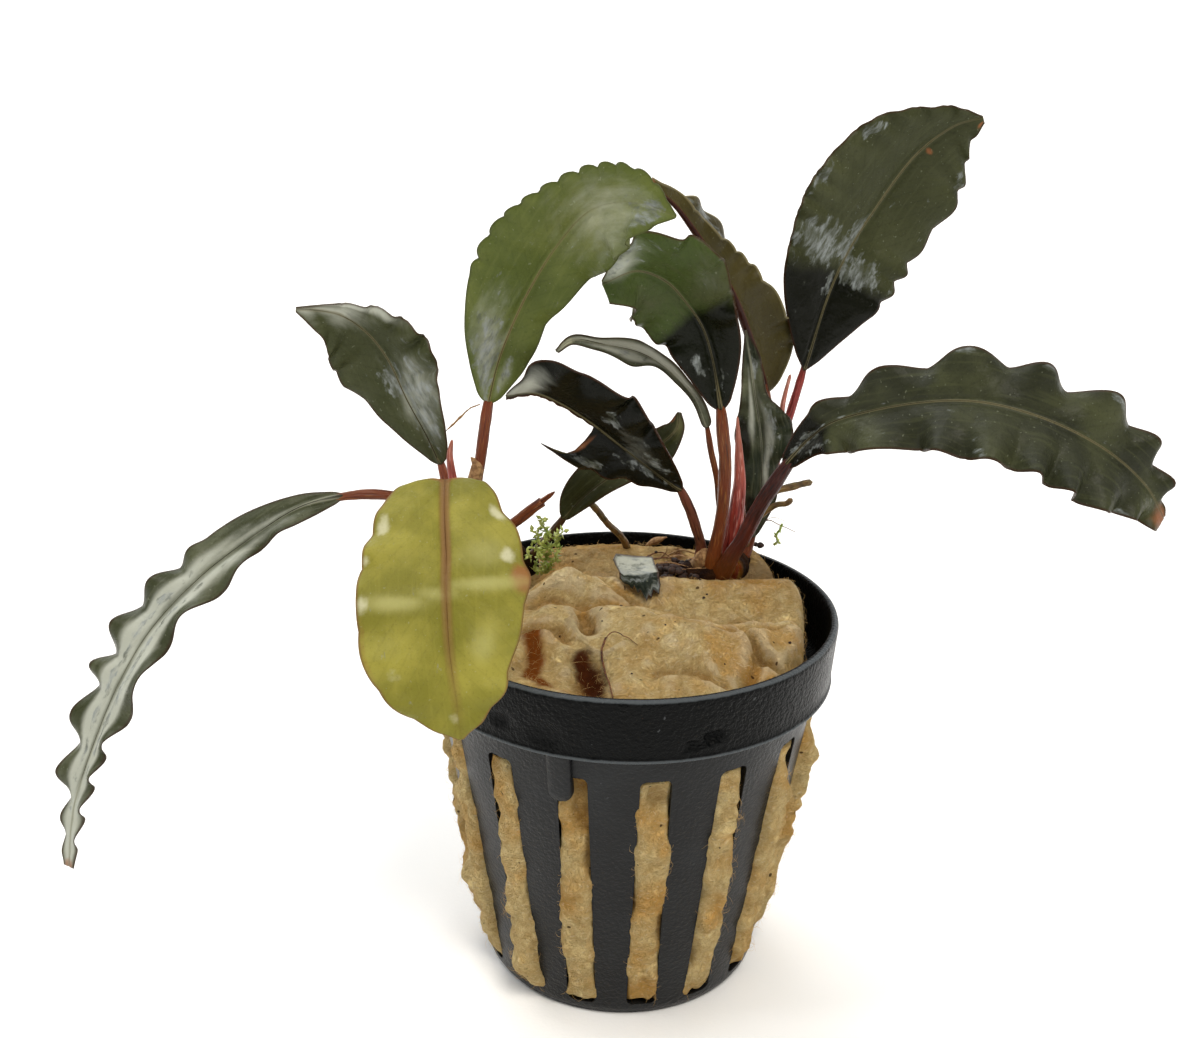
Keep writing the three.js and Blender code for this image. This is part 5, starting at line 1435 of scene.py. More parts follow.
def crease_depth(x, y):
    """How deep the creases run at each place of the top. Ridges count as less than nothing."""
    wander = np.stack([x, y, np.zeros_like(x)], -1)
    x = x + 0.7 * noise(wander, 3.5, SEED + 3)
    y = y + 0.7 * noise(wander, 3.5, SEED + 4)
    total = np.zeros_like(x)
    for route, width, depth in WOOL_CREASES:
        total = total + depth * np.exp(-(route_distance(x, y, route) / width) ** 2)
    return total * (0.85 + 0.6 * noise(wander, 4.5, SEED + 10))


def wool_top(x, y, top):
    """Height of the wool's top, with its rolls and its creases."""
    height = np.full(np.shape(x), float(top))
    for x1, y1, x2, y2, width, rise in WOOL_ROLLS:
        near = route_distance(x, y, [[x1, y1], [x2, y2]])
        height = height + rise * np.exp(-(near / width) ** 2)
    return height - crease_depth(x, y)


def wool_relief(x, y, top):
    """Height of the wool's top, with its clumps and its fuzz."""
    place = np.stack([x, y, np.zeros_like(x)], -1)
    # Clumps 5 mm wide with tufts 2.4 mm wide on them. Both are flatter where the pads are smooth,
    # on the right and at the back.
    clumps = 0.9 * np.sqrt(noise(place, 5, SEED + 7) ** 2 + 0.02)
    clumps = clumps + 0.4 * np.sqrt(noise(place, 2.4, SEED + 9) ** 2 + 0.03) - 0.4
    blanket = np.maximum(smooth(x, 2, 8) * smooth(y, -5, -2), smooth(y, 8, 12))
    return wool_top(x, y, top) + clumps * (1 - 0.65 * blanket) + 0.13 * rough_noise(place, 1, SEED + 8)


def level_around(x, y, reach, top):
    """Mean height of the wool's top on a ring of that reach round each place."""
    turns = np.linspace(0, 2 * np.pi, 6, endpoint=False)
    return sum(wool_relief(x + reach * math.cos(turn), y + reach * math.sin(turn), top)
               for turn in turns) / 6


def wool_shrink(x, y, sizes):
    """The wool keeps off the rim at the back and on the right, and fills the pot in front."""
    back = smooth(y, -8, 8)
    right = smooth(x, 8, 20) * smooth(y, -16, -4)
    return mix(1, sizes["back_radius"] / sizes["front_radius"], np.maximum(back, right))


def slot_swell(sizes, slots, z):
    """How far the wool stands out of the wall in each slot at each height."""
    swells = np.array([SLOT_SWELLS.get(slot, PLAIN_SWELL) for slot in range(sizes["slots"])])
    low, middle, high = swells.T
    knots = np.array([low * 0 - SLOT_END_DEPTH, low, (low + middle) / 2, middle, high,
                      np.minimum(high, 0) - SLOT_END_DEPTH])
    place = np.interp(z, SWELL_HEIGHTS, np.arange(len(SWELL_HEIGHTS)))
    i = np.minimum(place.astype(int), len(SWELL_HEIGHTS) - 2)
    return mix(knots[i, slots], knots[i + 1, slots], place - i)


def wool_rows(sizes):
    """Rows of the wool as [radius, height]: its bottom, side, rounded shoulder and top."""
    wall, collar = sizes["wall"], sizes["collar_bottom"]
    bottom = wall + WOOL_GAP
    inner = wall_radius(sizes, bottom) - wall - WOOL_GAP
    rows = [[4, bottom], [9, bottom], [13, bottom], [inner - 0.4, bottom]]
    for z in np.linspace(bottom + 0.4, collar, WOOL_SIDE_ROWS):
        rows.append([wall_radius(sizes, z) - wall - WOOL_GAP, z])
    front = sizes["front_radius"]
    rows += [[front - 0.6, collar + 1.4], [front - 0.2, collar + 2.4], [front, collar + 3.6]]
    top = sizes["wool_top"]
    for turn in np.linspace(0.1, np.pi / 2, SHOULDER_ROWS):
        rows.append([front - 2.2 * (1 - math.cos(turn)), top - 1.9 * (1 - math.sin(turn))])
    shoulder = len(rows)
    for r in np.linspace(front - 2.55, 0.35, WOOL_TOP_ROWS):
        rows.append([r, top])
    return np.array(rows), shoulder


def slot_bulge(sizes, radius, z, angles, slots):
    """How far the wool stands out of its side, and how deeply hollow it is, at each point."""
    centres = math.radians(FIRST_SLOT_DEGREES) + 2 * np.pi / sizes["slots"] * slots
    aside = radius * np.sin(angles - centres)
    spot = np.stack([slots * 7.0 + 0 * z, z, 0 * z], -1)
    place = around(radius, angles, z)
    # The wool wanders across its slot, and its edges and ends are ragged.
    lean = aside + 0.3 * noise(spot, 4, SEED + 1)
    narrow = sizes["slot_width"] / 2 + 0.12 + 0.35 * noise(spot, 2.6, SEED + 2)
    narrow = narrow + 0.25 * noise(spot + 0.5 * np.sign(aside)[..., None], 1.1, SEED + 3)
    bulge = np.sqrt(np.clip(1 - (np.abs(lean) / narrow) ** 5, 0, 1))
    ragged = z + 0.5 * noise(place, 1.3, SEED + 4)
    ends = smooth(ragged, sizes["slot_bottom"] - 0.2, sizes["slot_bottom"] + 0.7)
    ends = ends * (1 - smooth(ragged, sizes["slot_top"] - 0.6, sizes["slot_top"] + 0.2))
    hollow = np.zeros_like(aside)
    for slot, where, height, half_width, half_height, depth in SLOT_HOLLOWS:
        near = ((aside - where) / half_width) ** 2 + ((z - height) / half_height) ** 2
        hollow = hollow + (slots == slot) * depth * np.exp(-near)
    wall = sizes["wall"] + WOOL_GAP
    lumps = 0.5 * rough_noise(place, 2.4, SEED + 6) + 0.7 * np.abs(noise(place, 1.9, SEED + 5))
    reach = slot_swell(sizes, slots, z) + wall + lumps - hollow
    side = (z > 1) & (z < sizes["slot_top"] + 1)
    return np.clip(reach, 0.05, None) * bulge * ends * side, np.clip(hollow, 0, 1) * side


def wool_skin(sizes):
    """One closed skin of the two pads: swollen through the slots, rolled and creased on top."""
    rows, shoulder = wool_rows(sizes)
    half = sizes["slot_width"] / 2 + 0.75
    angles = np.stack([sector_angles(sizes, (max(r, 1), z, half), WOOL_COLUMNS) for r, z in rows])
    radius, z = rows[:, :1], np.broadcast_to(rows[:, 1:], angles.shape)
    columns = angles.shape[1]
    slots = np.repeat(np.arange(sizes["slots"]), sum(WOOL_COLUMNS))[None]
    out, hollow = slot_bulge(sizes, radius, z, angles, slots)
    points = around(radius + out, angles, z)
    above = smooth(z, sizes["collar_bottom"] + 1, sizes["wool_top"])
    x, y = points[..., 0], points[..., 1]
    shrink = mix(1, wool_shrink(x, y, sizes), smooth(z, sizes["collar_bottom"] + 0.6,
                                                     sizes["collar_bottom"] + 1.6))
    x, y = x * shrink, y * shrink
    relief = wool_relief(x, y, sizes["wool_top"])
    points = np.stack([x, y, z + above * (relief - sizes["wool_top"])], -1)
    on_top = (np.arange(len(rows)) >= shoulder - SHOULDER_ROWS)[:, None]
    # How far each place lies below the wool round it sets the painted shade in its folds.
    near, wide = (level_around(x, y, reach, sizes["wool_top"]) for reach in (1.2, 3))
    folded = np.maximum((near - relief) / 0.45, (wide - relief) / 1.3)
    # The pad behind the crown is painted in shade too, so it is browner than the one in front.
    folded = np.maximum(folded, 0.9 * smooth(y, 4, 7))
    # hollow is painted shade, in the folds on top and in the slots' hollows; ridge is a painted
    # highlight on the crests.
    marks = {"hollow": np.where(on_top, np.clip(folded, 0, 1), hollow),
             "ridge": np.where(on_top, np.clip((relief - near) / 0.4, 0, 1), 0)}
    for mark, places in WOOL_MARKS.items():
        value = np.zeros_like(x)
        for route, width, strength in places:
            near = strength * np.exp(-(route_distance(x, y, route) / width) ** 2)
            value = np.maximum(value, near)
        marks[mark] = np.where(on_top, value, 0)
    last = (len(rows) - 1) * columns
    caps = [np.arange(columns)[None], np.arange(columns)[None] + last]
    return points, [grid_faces(len(rows), columns, True), *caps], marks


def strands(starts, ways, normals, lengths, radius, seed):
    """Many thin curved three-sided strands as one closed mesh."""
    rng = np.random.default_rng(seed)
    count = len(starts)
    share = np.linspace(0, 1, STRAND_ROWS)[None, :, None]
    bend = unit(np.cross(ways, normals)) * rng.uniform(-0.5, 0.5, (count, 1))
    lift = rng.uniform(0.1, 0.45, (count, 1))
    arch = np.sin(np.pi * share * 0.8)
    reach = lengths[:, None, None]
    route = (starts[:, None] + ways[:, None] * share * reach + bend[:, None] * share ** 2 * reach
             + normals[:, None] * (arch * reach * lift[:, None]))
    across = unit(np.cross(ways, normals))[:, None]
    over = normals[:, None]
    turn = np.linspace(0, 2 * np.pi, 3, endpoint=False)
    taper = radius * (1 - 0.7 * share)
    points = np.stack([route + taper * (across * math.cos(a) + over * math.sin(a)) for a in turn], 2)
    first = np.arange(count)[:, None] * STRAND_ROWS * 3
    faces = (grid_faces(STRAND_ROWS, 3, True)[None] + first[:, None]).reshape(-1, 4)
    low = first + np.array([0, 1, 2])
    return points.reshape(-1, 3), [faces, np.vstack([low[:, ::-1], low + (STRAND_ROWS - 1) * 3])]


def wool_fibres(points, sizes, count, seed):
    """Loose strands that stand off the wool: on its top and where it swells through the slots."""
    rng = np.random.default_rng(seed)
    ahead = np.roll(points, -1, axis=1) - points
    crossed = np.cross(ahead[:-1], np.diff(points, axis=0))
    places = points[:-1]
    reach, z = np.hypot(places[..., 0], places[..., 1]), places[..., 2]
    free = (z > TOP_LEVEL) | (reach > wall_radius(sizes, z) + 0.1)
    weight = (np.linalg.norm(crossed, axis=-1) * free).ravel()
    chosen = rng.choice(weight.size, count, p=weight / weight.sum())
    starts, out = places.reshape(-1, 3)[chosen], unit(crossed).reshape(-1, 3)[chosen]
    on_top = starts[:, 2] > TOP_LEVEL
    outward = np.einsum("ij,ij->i", out, unit(starts * [1, 1, 0]))
    inward = np.where(on_top, out[:, 2], outward) < 0
    out = np.where(inward[:, None], -out, out)
    ways = unit(np.cross(out, rng.normal(size=(count, 3))))
    lengths = rng.uniform(*STRAND_LENGTHS, count)
    return strands(starts - out * STRAND_FOOT_DEPTH, ways, out, lengths, sizes["fibre"], seed + 1)


# Rhizomes, small stems and loose things. Routes run from the old end to the growing end.

RIGHT_RHIZOME = [[4, 8.5, 48], [7.5, 6.4, 49.3], [10.6, 5.4, 50.3], [12.8, 8.6, 49.9],
                 [14.4, 13, 48.9], [15.2, 18, 47.9]]
LEFT_RHIZOME = [[-12.6, 10.5, 48.2], [-15.8, 6, 52.6], [-19, 1.4, 56.8], [-20.8, -0.6, 59.6]]
# Each is (solid, route, radius, middle of its crown).
RHIZOMES = {
    "right_rhizome": ("rhizome_right", RIGHT_RHIZOME, 1.9, [12.6, 6, 50.6]),
    "left_rhizome": ("rhizome_left", LEFT_RHIZOME, 1.55, [-20.3, 0, 58.8]),
}
SCAR_SPACING = 1.7
# Each is (solid, radius at the foot, radius at the tip, route).
BUDS = {
    "young_leaf_centre": ("bud_centre", 1.15, 0.15,
                          [[12.4, 7.4, 50.3], [12.9, 5.4, 55.8], [13.3, 4, 62.1], [13.1, 4, 66],
                           [12.6, 4, 71.6]]),
    "young_leaf_back": ("bud_back", 0.6, 0.2,
                        [[14.8, 15.6, 48.9], [16.2, 15.6, 52.5], [18.3, 15.6, 58.7],
                         [19.1, 15.2, 65.3], [19.1, 14.6, 70], [19.8, 14.4, 74.2]]),
    "young_leaf_left": ("bud_left", 0.65, 0.18,
                        [[-20.7, -0.6, 59.6], [-21, -1.2, 62], [-21.6, -2, 67.1],
                         [-21.3, -2, 69.7]]),
}
CUT_STALK = [[-17.2, 3.6, 55], [-15.2, 2.4, 56.9], [-12.4, 2, 59.4], [-9.5, 2, 61.8]]
CUT_STALK_RADIUS = 0.65
# The stalk is split from this share of its length on, into slivers: (side, share of the end's
# length, share of the stalk's radius).
SPLIT_START = 0.84
SLIVERS = ((1, 1.0, 0.62), (-1, 0.72, 0.5))
# Each is (solid, radius, route).
ROOTS = {
    "arched_root": ("arching_root", 0.5, [[0.3, 19.4, 45.6], [-0.4, 18.4, 48.6],
                                          [-1.4, 16.8, 50.9], [-2.8, 14, 53.3], [-5.2, 10.6, 57.5],
                                          [-7.1, 8.9, 58.7], [-9, 7.5, 58.8]]),
    "stub_root": ("root_stub_right", 0.52, [[14.7, 12.6, 49.8], [15.3, 11, 53.6], [16.2, 10, 57.6],
                                            [17.8, 9.6, 59.9], [20.4, 9.3, 60.9],
                                            [22.9, 9, 61.7]]),
    "curled_root": ("root_curl_right", 0.4, [[16.1, 10.6, 55.8], [18.2, 9, 58.3], [19.7, 8, 59.1],
                                             [20.3, 7.6, 59.9]]),
}
# Thin dark roots that lie on the wool or stand off it: (route, radius, follows the wool).
HAIR_ROOTS = [
    ([[-2.5, -13.1, 0.5], [-2.9, -15, 0.4], [-2.2, -18, 0.4], [-1.7, -21, 0.3], [-1.1, -23.3, 0]],
     0.14, True),
    ([[-2.5, -13.2, 0.5], [-1.6, -12.6, 0.6], [0.1, -13.5, 0.3], [1.2, -14.2, 0]], 0.08, True),
    ([[15.8, 18.5, 50.6], [18.3, 19, 52.6], [20, 19, 52.1], [22.3, 19, 51.1]], 0.09, False),
    ([[17, 18.8, 51.5], [19, 19.4, 52.9], [21, 19.6, 52.4]], 0.05, False),
    ([[3, 9, 50.6], [5.2, 8.2, 51.2], [6.4, 8, 50.2], [7, 8, 49.6]], 0.12, False),
    ([[1.2, 14, 0.2], [4, 15.5, 0.6], [7, 13, 0.3]], 0.12, True),
]
# Dark crumbs on the wool: [x, y, radius].
CRUMBS = [[-0.8, -5.9, 0.2], [8.9, 2.1, 0.16], [9.3, -0.7, 0.2], [9.7, -0.3, 0.14],
          [13.4, -6.3, 0.16], [19.2, -9.5, 0.2], [20.4, -13.5, 0.15], [17.3, 14.6, 0.55],
          [16.7, 14.2, 0.4], [-8.4, 9.2, 0.5], [-7.6, 8.8, 0.35], [-9.2, 8.6, 0.3], [3.4, 11, 0.9],
          [4.6, 12.6, 1.1], [6.2, 11.6, 0.9], [5.4, 9.6, 0.8], [2.4, 12.4, 0.6], [7.4, 13.4, 0.7],
          [-3, -9.5, 0.12], [4.4, -12, 0.12], [11.2, -16, 0.12], [0.6, -18.5, 0.12]]
# The heap of crumbled rhizome beside the crown.
HEAP_MIDDLE = [6.6, 5.4, 50.6]
HEAP_SPREAD = [1.5, 1.2, 0.6]
HEAP_CRUMBS = 80
HEAP_CRUMB_RADII = (0.2, 0.65)
# Dead sheaths and wisps: (route, radii at even places along it).
HUSKS = [
    ([[-19.3, 0, 62.2], [-18.9, -0.1, 64], [-18.6, -0.2, 65.8], [-19.3, -0.3, 66.9]],
     [0.85, 0.86, 0.8, 0.1]),
    ([[-22.4, 1, 69.7], [-20.8, 1, 71.3], [-19.6, 1, 72.5], [-18.2, 0.6, 73.3]],
     [0.06, 0.12, 0.1, 0.05]),
    ([[2.1, 17, 49.3], [3.4, 17, 50], [5, 17, 50.6]], [0.1, 0.5, 0.08]),
    ([[8.4, 7.4, 50.4], [9, 5.6, 51.6], [9.3, 4.9, 53.4], [9.2, 4.8, 54.2]], [1.2, 1.1, 0.8, 0.1]),
    ([[3.4, 4.6, 51.8], [5.2, 3.8, 52.3], [7.4, 3.6, 51.9]], [0.04, 0.1, 0.04]),
    ([[4.5, 6.6, 51.6], [6.2, 5.2, 52.7], [8.6, 4.2, 52.6]], [0.05, 0.14, 0.05]),
    ([[6.2, 3.6, 51.4], [7.8, 2.8, 52], [9.6, 2.8, 52.1]], [0.03, 0.08, 0.03]),
    ([[3.8, 8, 51], [4.6, 6.8, 52.4], [4.8, 6.2, 53.6]], [0.08, 0.09, 0.03]),
    ([[5, 9, 51.2], [6.6, 7.4, 52.6], [8.4, 6.8, 52.4]], [0.04, 0.1, 0.05]),
]
# The moss: its stems from the wool up, and a small sprig at the back.
MOSS_STEMS = [
    [[-10.6, 8, 48.6], [-10.7, 6.5, 51.5], [-10.4, 5, 54.4], [-11.2, 4.2, 57.6]],
    [[-10.6, 7.5, 49.4], [-9.8, 6, 51], [-9, 5, 52.6], [-9.4, 4.6, 53.4]],
    [[-10.7, 7, 50.6], [-11.6, 5.6, 52.4], [-12.5, 5, 53.4], [-12.8, 4.8, 52]],
    [[-10.6, 6.6, 51.5], [-9.4, 5.2, 54.2], [-8.6, 4.6, 55.8]],
    [[-10.6, 8, 48.8], [-11.8, 7, 49.6], [-12.4, 6.4, 50.8]],
    [[-10.5, 5.8, 52.8], [-11.6, 4.8, 54.8], [-12.2, 4.2, 56]],
]
FAR_SPRIG = [[19.4, 17.6, 49.6], [19.7, 17.4, 50.6], [20, 17.2, 51.8], [19.8, 17, 52.6]]


def grown_route(points, step):
    """Places about one step apart along a smooth curve, their shares and how far along they are."""
    t, run = even_shares(points, step)
    return curve(points, t), t, run


def rhizome_skin(route, radius, seed):
    """A knobbly stem, ringed by the scars that fallen leaves left."""
    place, _, run = grown_route(route, 0.22)
    rings = np.abs(((run / SCAR_SPACING) % 1) - 0.5) * 2
    radii = radius * (0.93 + 0.08 * smooth(rings, 0.1, 0.5))
    radii = rounded_ends(radii, run, radius)
    return tube(place, radii, sides=32, lumps=0.16 * radius, seed=seed)


def crumb_skin(centre, radius, seed):
    """A small rough lump."""
    rows, columns = 5, 8
    turn = np.linspace(0, 2 * np.pi, columns, endpoint=False)
    rise = np.linspace(-1.35, 1.35, rows)
    ring = np.stack(np.broadcast_arrays(np.cos(rise)[:, None] * np.cos(turn),
                                        np.cos(rise)[:, None] * np.sin(turn),
                                        np.sin(rise)[:, None] * 0.7), -1).reshape(-1, 3)
    ring = ring * (1 + 0.4 * noise(ring + seed, 0.7, seed))[:, None] * radius
    caps = [np.arange(columns)[None], np.arange(columns)[None] + (rows - 1) * columns]
    return ring + centre, [grid_faces(rows, columns, True), *caps]


def leaflet_skins(centres, ways, normals, length, width):
    """Tiny pointed leaflets, each a flat closed lozenge."""
    across = unit(np.cross(ways, normals))
    over = unit(np.cross(across, ways))
    corners = [ways * 0, ways * 0.45 * length + across * width, ways * length + over * 0.1,
               ways * 0.45 * length - across * width, ways * 0.4 * length + over * 0.07,
               ways * 0.4 * length - over * 0.07]
    points = centres[:, None] + np.stack(corners, 1)
    sides = np.array([[0, 1, 4], [1, 2, 4], [2, 3, 4], [3, 0, 4],
                      [1, 0, 5], [2, 1, 5], [3, 2, 5], [0, 3, 5]])
    faces = sides[None] + np.arange(len(centres))[:, None, None] * len(corners)
    return points.reshape(-1, 3), [faces.reshape(-1, 3)]


def add_moss(shell, stems, seed, leaflet=0.95):
    """Curly moss stems with leaflets all along them."""
    rng = np.random.default_rng(seed)
    for stem in stems:
        place, t, run = grown_route(stem, 0.25)
        place = place + 0.3 * np.stack([np.sin(run * 2.6), np.cos(run * 2.1), 0 * run], -1)
        shell.add(*tube(place, 0.2 * (1 - 0.4 * t), sides=10, lumps=0.08, seed=seed)[:2])
        count = int(len(place) * 1.2)
        at = rng.integers(1, len(place), count)
        ways = unit(rng.normal(size=(count, 3)) + [0, 0, 0.5])
        normals = unit(rng.normal(size=(count, 3)))
        shell.add(*leaflet_skins(place[at], ways, normals, leaflet, leaflet * 0.32))


def split_end_skins(route, radius):
    """The cut stalk: a ribbed stem whose end is split in two pointed slivers."""
    place, t, run = grown_route(route, 0.3)
    whole = t < SPLIT_START
    skins = [tube(place[whole], radius * (1 + 0.12 * np.exp(-(run[whole] / 2) ** 2)), sides=20,
                  groove=0.25, lumps=0.05, seed=SEED)]
    tip, aside = place[-1], np.array([0.35, -0.5, 0.5])
    start = place[whole][-1]
    for way, length, share in SLIVERS:
        end = start + (tip - start) * length + aside * way * 0.45
        middle = start + (end - start) * 0.5 + aside * way * 0.1
        sliver, t, _ = grown_route([start - (end - start) * 0.3, start, middle, end], 0.2)
        radii = radius * share * np.sqrt(np.clip(1 - t ** 2, 0.004, 1))
        skins.append(tube(sliver + aside * way * radius * 0.35, radii, sides=12, lumps=0.04,
                          seed=SEED + way))
    return skins


# Operators: one for each piece or group of like pieces, and one for the stage

def plant_settings():
    """The settings that a user may change."""
    return bpy.context.scene.potted_plant


def wool_sizes(settings):
    """The pot's sizes and the wool's, in millimetres."""
    sizes = pot_sizes(settings)
    names = ("top", "front_radius", "back_radius", "fibre_radius")
    wool_top_mm, front, back, fibre = in_mm(settings.wool, *names)
    return dict(sizes, wool_top=wool_top_mm, front_radius=front, back_radius=back, fibre=fibre)


class PLANT_OT_pot(bpy.types.Operator):
    """Builds the slotted net pot with its collar and its hanging tab"""
    bl_idname = "plant.pot"
    bl_label = "Net pot"

    def execute(self, context):
        settings = plant_settings()
        sizes = pot_sizes(settings)
        points, faces = pot_shell(sizes)
        radius, z = np.hypot(points[:, 0], points[:, 1]), points[:, 2]
        # The edge mark paints the collar's lower lip and the rim grey: partly wear, and partly a
        # painted highlight where the rounded edges catch the light.
        lip = np.exp(-((z - sizes["collar_bottom"] - 0.2) / 0.25) ** 2)
        lip = np.maximum(lip * (radius > sizes["collar_foot_radius"]),
                         0.8 * (z > sizes["height"] - 0.3) * (radius > sizes["rim_radius"] - 0.5))
        collar = points[faces[0]][..., 2].min(1) > sizes["collar_bottom"] - 0.01
        faces = [faces[0][~collar], faces[0][collar], *faces[1:]]
        shell = Shell().add(dented(points), faces, finish=[0, 1, 0, 0, 0], edge=lip)
        shell.add(*tab_skin(sizes))
        # The collar's finish is a darker copy of the same plastic with less shine: painted shade.
        finishes = [plastic_finish(settings.colours.pot, "satin wall", "#26292b", 0.24, 0.05),
                    plastic_finish("#040505", "pebbled collar", "#0e1011", 0.09, 0.1)]
        piece = shell.piece("net_pot", finishes, "pot_plastic", ["pot"], sharp_degrees=38)
        rounding = piece.modifiers.new("moulded edges", "BEVEL")
        rounding.limit_method = "ANGLE"
        rounding.angle_limit = math.radians(50)
        rounding.width = MOULDED_ROUNDING * MM
        rounding.segments = 2
        return {"FINISHED"}


class PLANT_OT_wool(bpy.types.Operator):
    """Builds the two pads of rock wool as one felted mass, and the strands that stand off it"""
    bl_idname = "plant.wool"
    bl_label = "Rock wool"

    def execute(self, context):
        settings = plant_settings()
        sizes = wool_sizes(settings)
        colours = settings.colours
        points, faces, marks = wool_skin(sizes)
        shell = Shell().add(points, faces, **marks)
        shell.piece("rock_wool", [wool_finish(colours.wool, colours.stain)], "rock_wool",
                    ["wool_front", "wool_back"])
        shell = Shell().add(*wool_fibres(points, sizes, settings.wool.fibre_count, SEED))
        shell.piece("loose_fibres", [fibre_finish("#cfa561")], "rock_wool")
        return {"FINISHED"}


class PLANT_OT_rhizomes(bpy.types.Operator):
    """Builds the two creeping stems, knobbly and ringed with scars, fresher at their crowns"""
    bl_idname = "plant.rhizomes"
    bl_label = "Rhizomes"

    def execute(self, context):
        finish = bark_finish(plant_settings().colours.rhizome)
        for seed, (name, (frame_node, route, radius, crown)) in enumerate(RHIZOMES.items()):
            points, faces, marks = rhizome_skin(route, radius, SEED + seed)
            far = np.linalg.norm(points - np.array(crown), axis=-1)
            marks["crown"] = 1 - smooth(far, 1.2, 3.6)
            shell = Shell().add(points, faces, **marks)
            shell.piece(name, [finish], "rhizome", [frame_node])
        return {"FINISHED"}


def build_leaves(leaves, first_seed):
    """Builds each leaf as one piece: its blade and its stalk."""
    settings = plant_settings()
    colours = settings.colours
    half, step = in_mm(settings.leaf, "half_thickness", "row_step")
    for seed, (name, form) in enumerate(leaves.items(), first_seed):
        tone = form["tone"]
        colour = form.get("colour", getattr(colours, tone))
        stalk = stalk_finish(*form.get("stalk_colours", (colours.stalk,)))
        finishes = [leaf_finish(tone, colour), leaf_finish(tone, colour, True), stalk]
        shell = Shell()
        sheet, guide, marks = blade_sheet(form, step, settings.leaf.ruffle, seed * 10)
        close_blade(shell, sheet, guide, marks, half, form["stalk_radius"] * 0.8)
        add_stalk(shell, form, sheet, guide)
        shell.piece(name, finishes, tone, [form["node"]])


class PLANT_OT_right_leaves(bpy.types.Operator):
    """Builds the leaves of the right shoot on their stalks"""
    bl_idname = "plant.right_leaves"
    bl_label = "Leaves of the right shoot"

    def execute(self, context):
        build_leaves(RIGHT_LEAVES, 1)
        return {"FINISHED"}


class PLANT_OT_left_leaves(bpy.types.Operator):
    """Builds the leaves of the left shoot on their stalks"""
    bl_idname = "plant.left_leaves"
    bl_label = "Leaves of the left shoot"

    def execute(self, context):
        build_leaves(LEFT_LEAVES, 20)
        return {"FINISHED"}


class PLANT_OT_scrap(bpy.types.Operator):
    """Builds the torn scrap of old leaf that hangs over the wool"""
    bl_idname = "plant.scrap"
    bl_label = "Torn scrap of leaf"

    def execute(self, context):
        settings = plant_settings()
        half = in_mm(settings.leaf, "half_thickness")[0]
        shell = Shell()
        close_blade(shell, *scrap_sheet(), half, 0)
        finishes = [leaf_finish("dark_leaf", "#141c12"), leaf_finish("dark_leaf", "#141c12", True)]
        shell.piece("torn_scrap", finishes, "dark_leaf", ["leaf_scrap"])
        return {"FINISHED"}


class PLANT_OT_young_leaves(bpy.types.Operator):
    """Builds the young leaves, still rolled up, with the seam of the roll"""
    bl_idname = "plant.young_leaves"
    bl_label = "Rolled young leaves"

    def execute(self, context):
        finish = young_finish(plant_settings().colours.young_leaf)
        for seed, (name, (frame_node, radius, tip, route)) in enumerate(BUDS.items()):
            place, t, run = grown_route(route, 0.3)
            radii = mix(radius, tip, t ** 1.8) * (1 + 0.25 * np.exp(-(run / 2) ** 2))
            radii = rounded_ends(radii, run, 0.5)
            points, faces, marks = tube(place, radii, sides=20, normal=(0.4, -1, 0.1), groove=0.3,
                                        lumps=0.05 * radius, seed=SEED + seed)
            shell = Shell().add(points, faces, **marks)
            shell.piece(name, [finish], "young_leaf", [frame_node])
        return {"FINISHED"}


class PLANT_OT_cut_stalk(bpy.types.Operator):
    """Builds the cut leaf stalk with its split end"""
    bl_idname = "plant.cut_stalk"
    bl_label = "Cut stalk"

    def execute(self, context):
        colour = plant_settings().colours.stalk
        finish = stalk_finish(colour, "#33160f", "#b98558", "ribbed rind of a cut stalk")
        shell = Shell()
        for points, faces, marks in split_end_skins(CUT_STALK, CUT_STALK_RADIUS):
            shell.add(points, faces, **marks)
        shell.piece("split_stalk", [finish], "stalk", ["cut_stalk"])
        return {"FINISHED"}


class PLANT_OT_roots(bpy.types.Operator):
    """Builds the bare roots, and the hair-thin ones on the wool"""
    bl_idname = "plant.roots"
    bl_label = "Roots"

    def execute(self, context):
        settings = plant_settings()
        finish = root_finish(settings.colours.root)
        for seed, (name, (frame_node, radius, route)) in enumerate(ROOTS.items()):
            place, t, run = grown_route(route, 0.3)
            radii = rounded_ends(radius * (1 - 0.15 * t), run, radius)
            points, faces, marks = tube(place, radii, sides=16, lumps=0.12 * radius, seed=SEED + seed)
            shell = Shell().add(points, faces, **marks)
            shell.piece(name, [finish], "root", [frame_node])
        top = in_mm(settings.wool, "top")[0]
        shell = Shell()
        for route, radius, on_wool in HAIR_ROOTS:
            place, t, _ = grown_route(route, 0.2)
            if on_wool:
                place[:, 2] += wool_relief(place[:, 0], place[:, 1], top) + 0.1
            points, faces, marks = tube(place, radius * (1 - 0.5 * t), sides=8)
            shell.add(points, faces, **marks)
        finish = husk_finish("dark skin of a hair root", "#4a2a18", "#7a4c28")
        shell.piece("hair_roots", [finish], "root")
        return {"FINISHED"}


class PLANT_OT_moss(bpy.types.Operator):
    """Builds the curly sprig of moss by the left shoot, and a small one at the back"""
    bl_idname = "plant.moss"
    bl_label = "Moss"

    def execute(self, context):
        shell = Shell()
        add_moss(shell, MOSS_STEMS, SEED)
        add_moss(shell, [FAR_SPRIG], SEED + 1, 0.6)
        finish = moss_finish(plant_settings().colours.moss)
        shell.piece("moss_sprigs", [finish], "green_leaf")
        return {"FINISHED"}


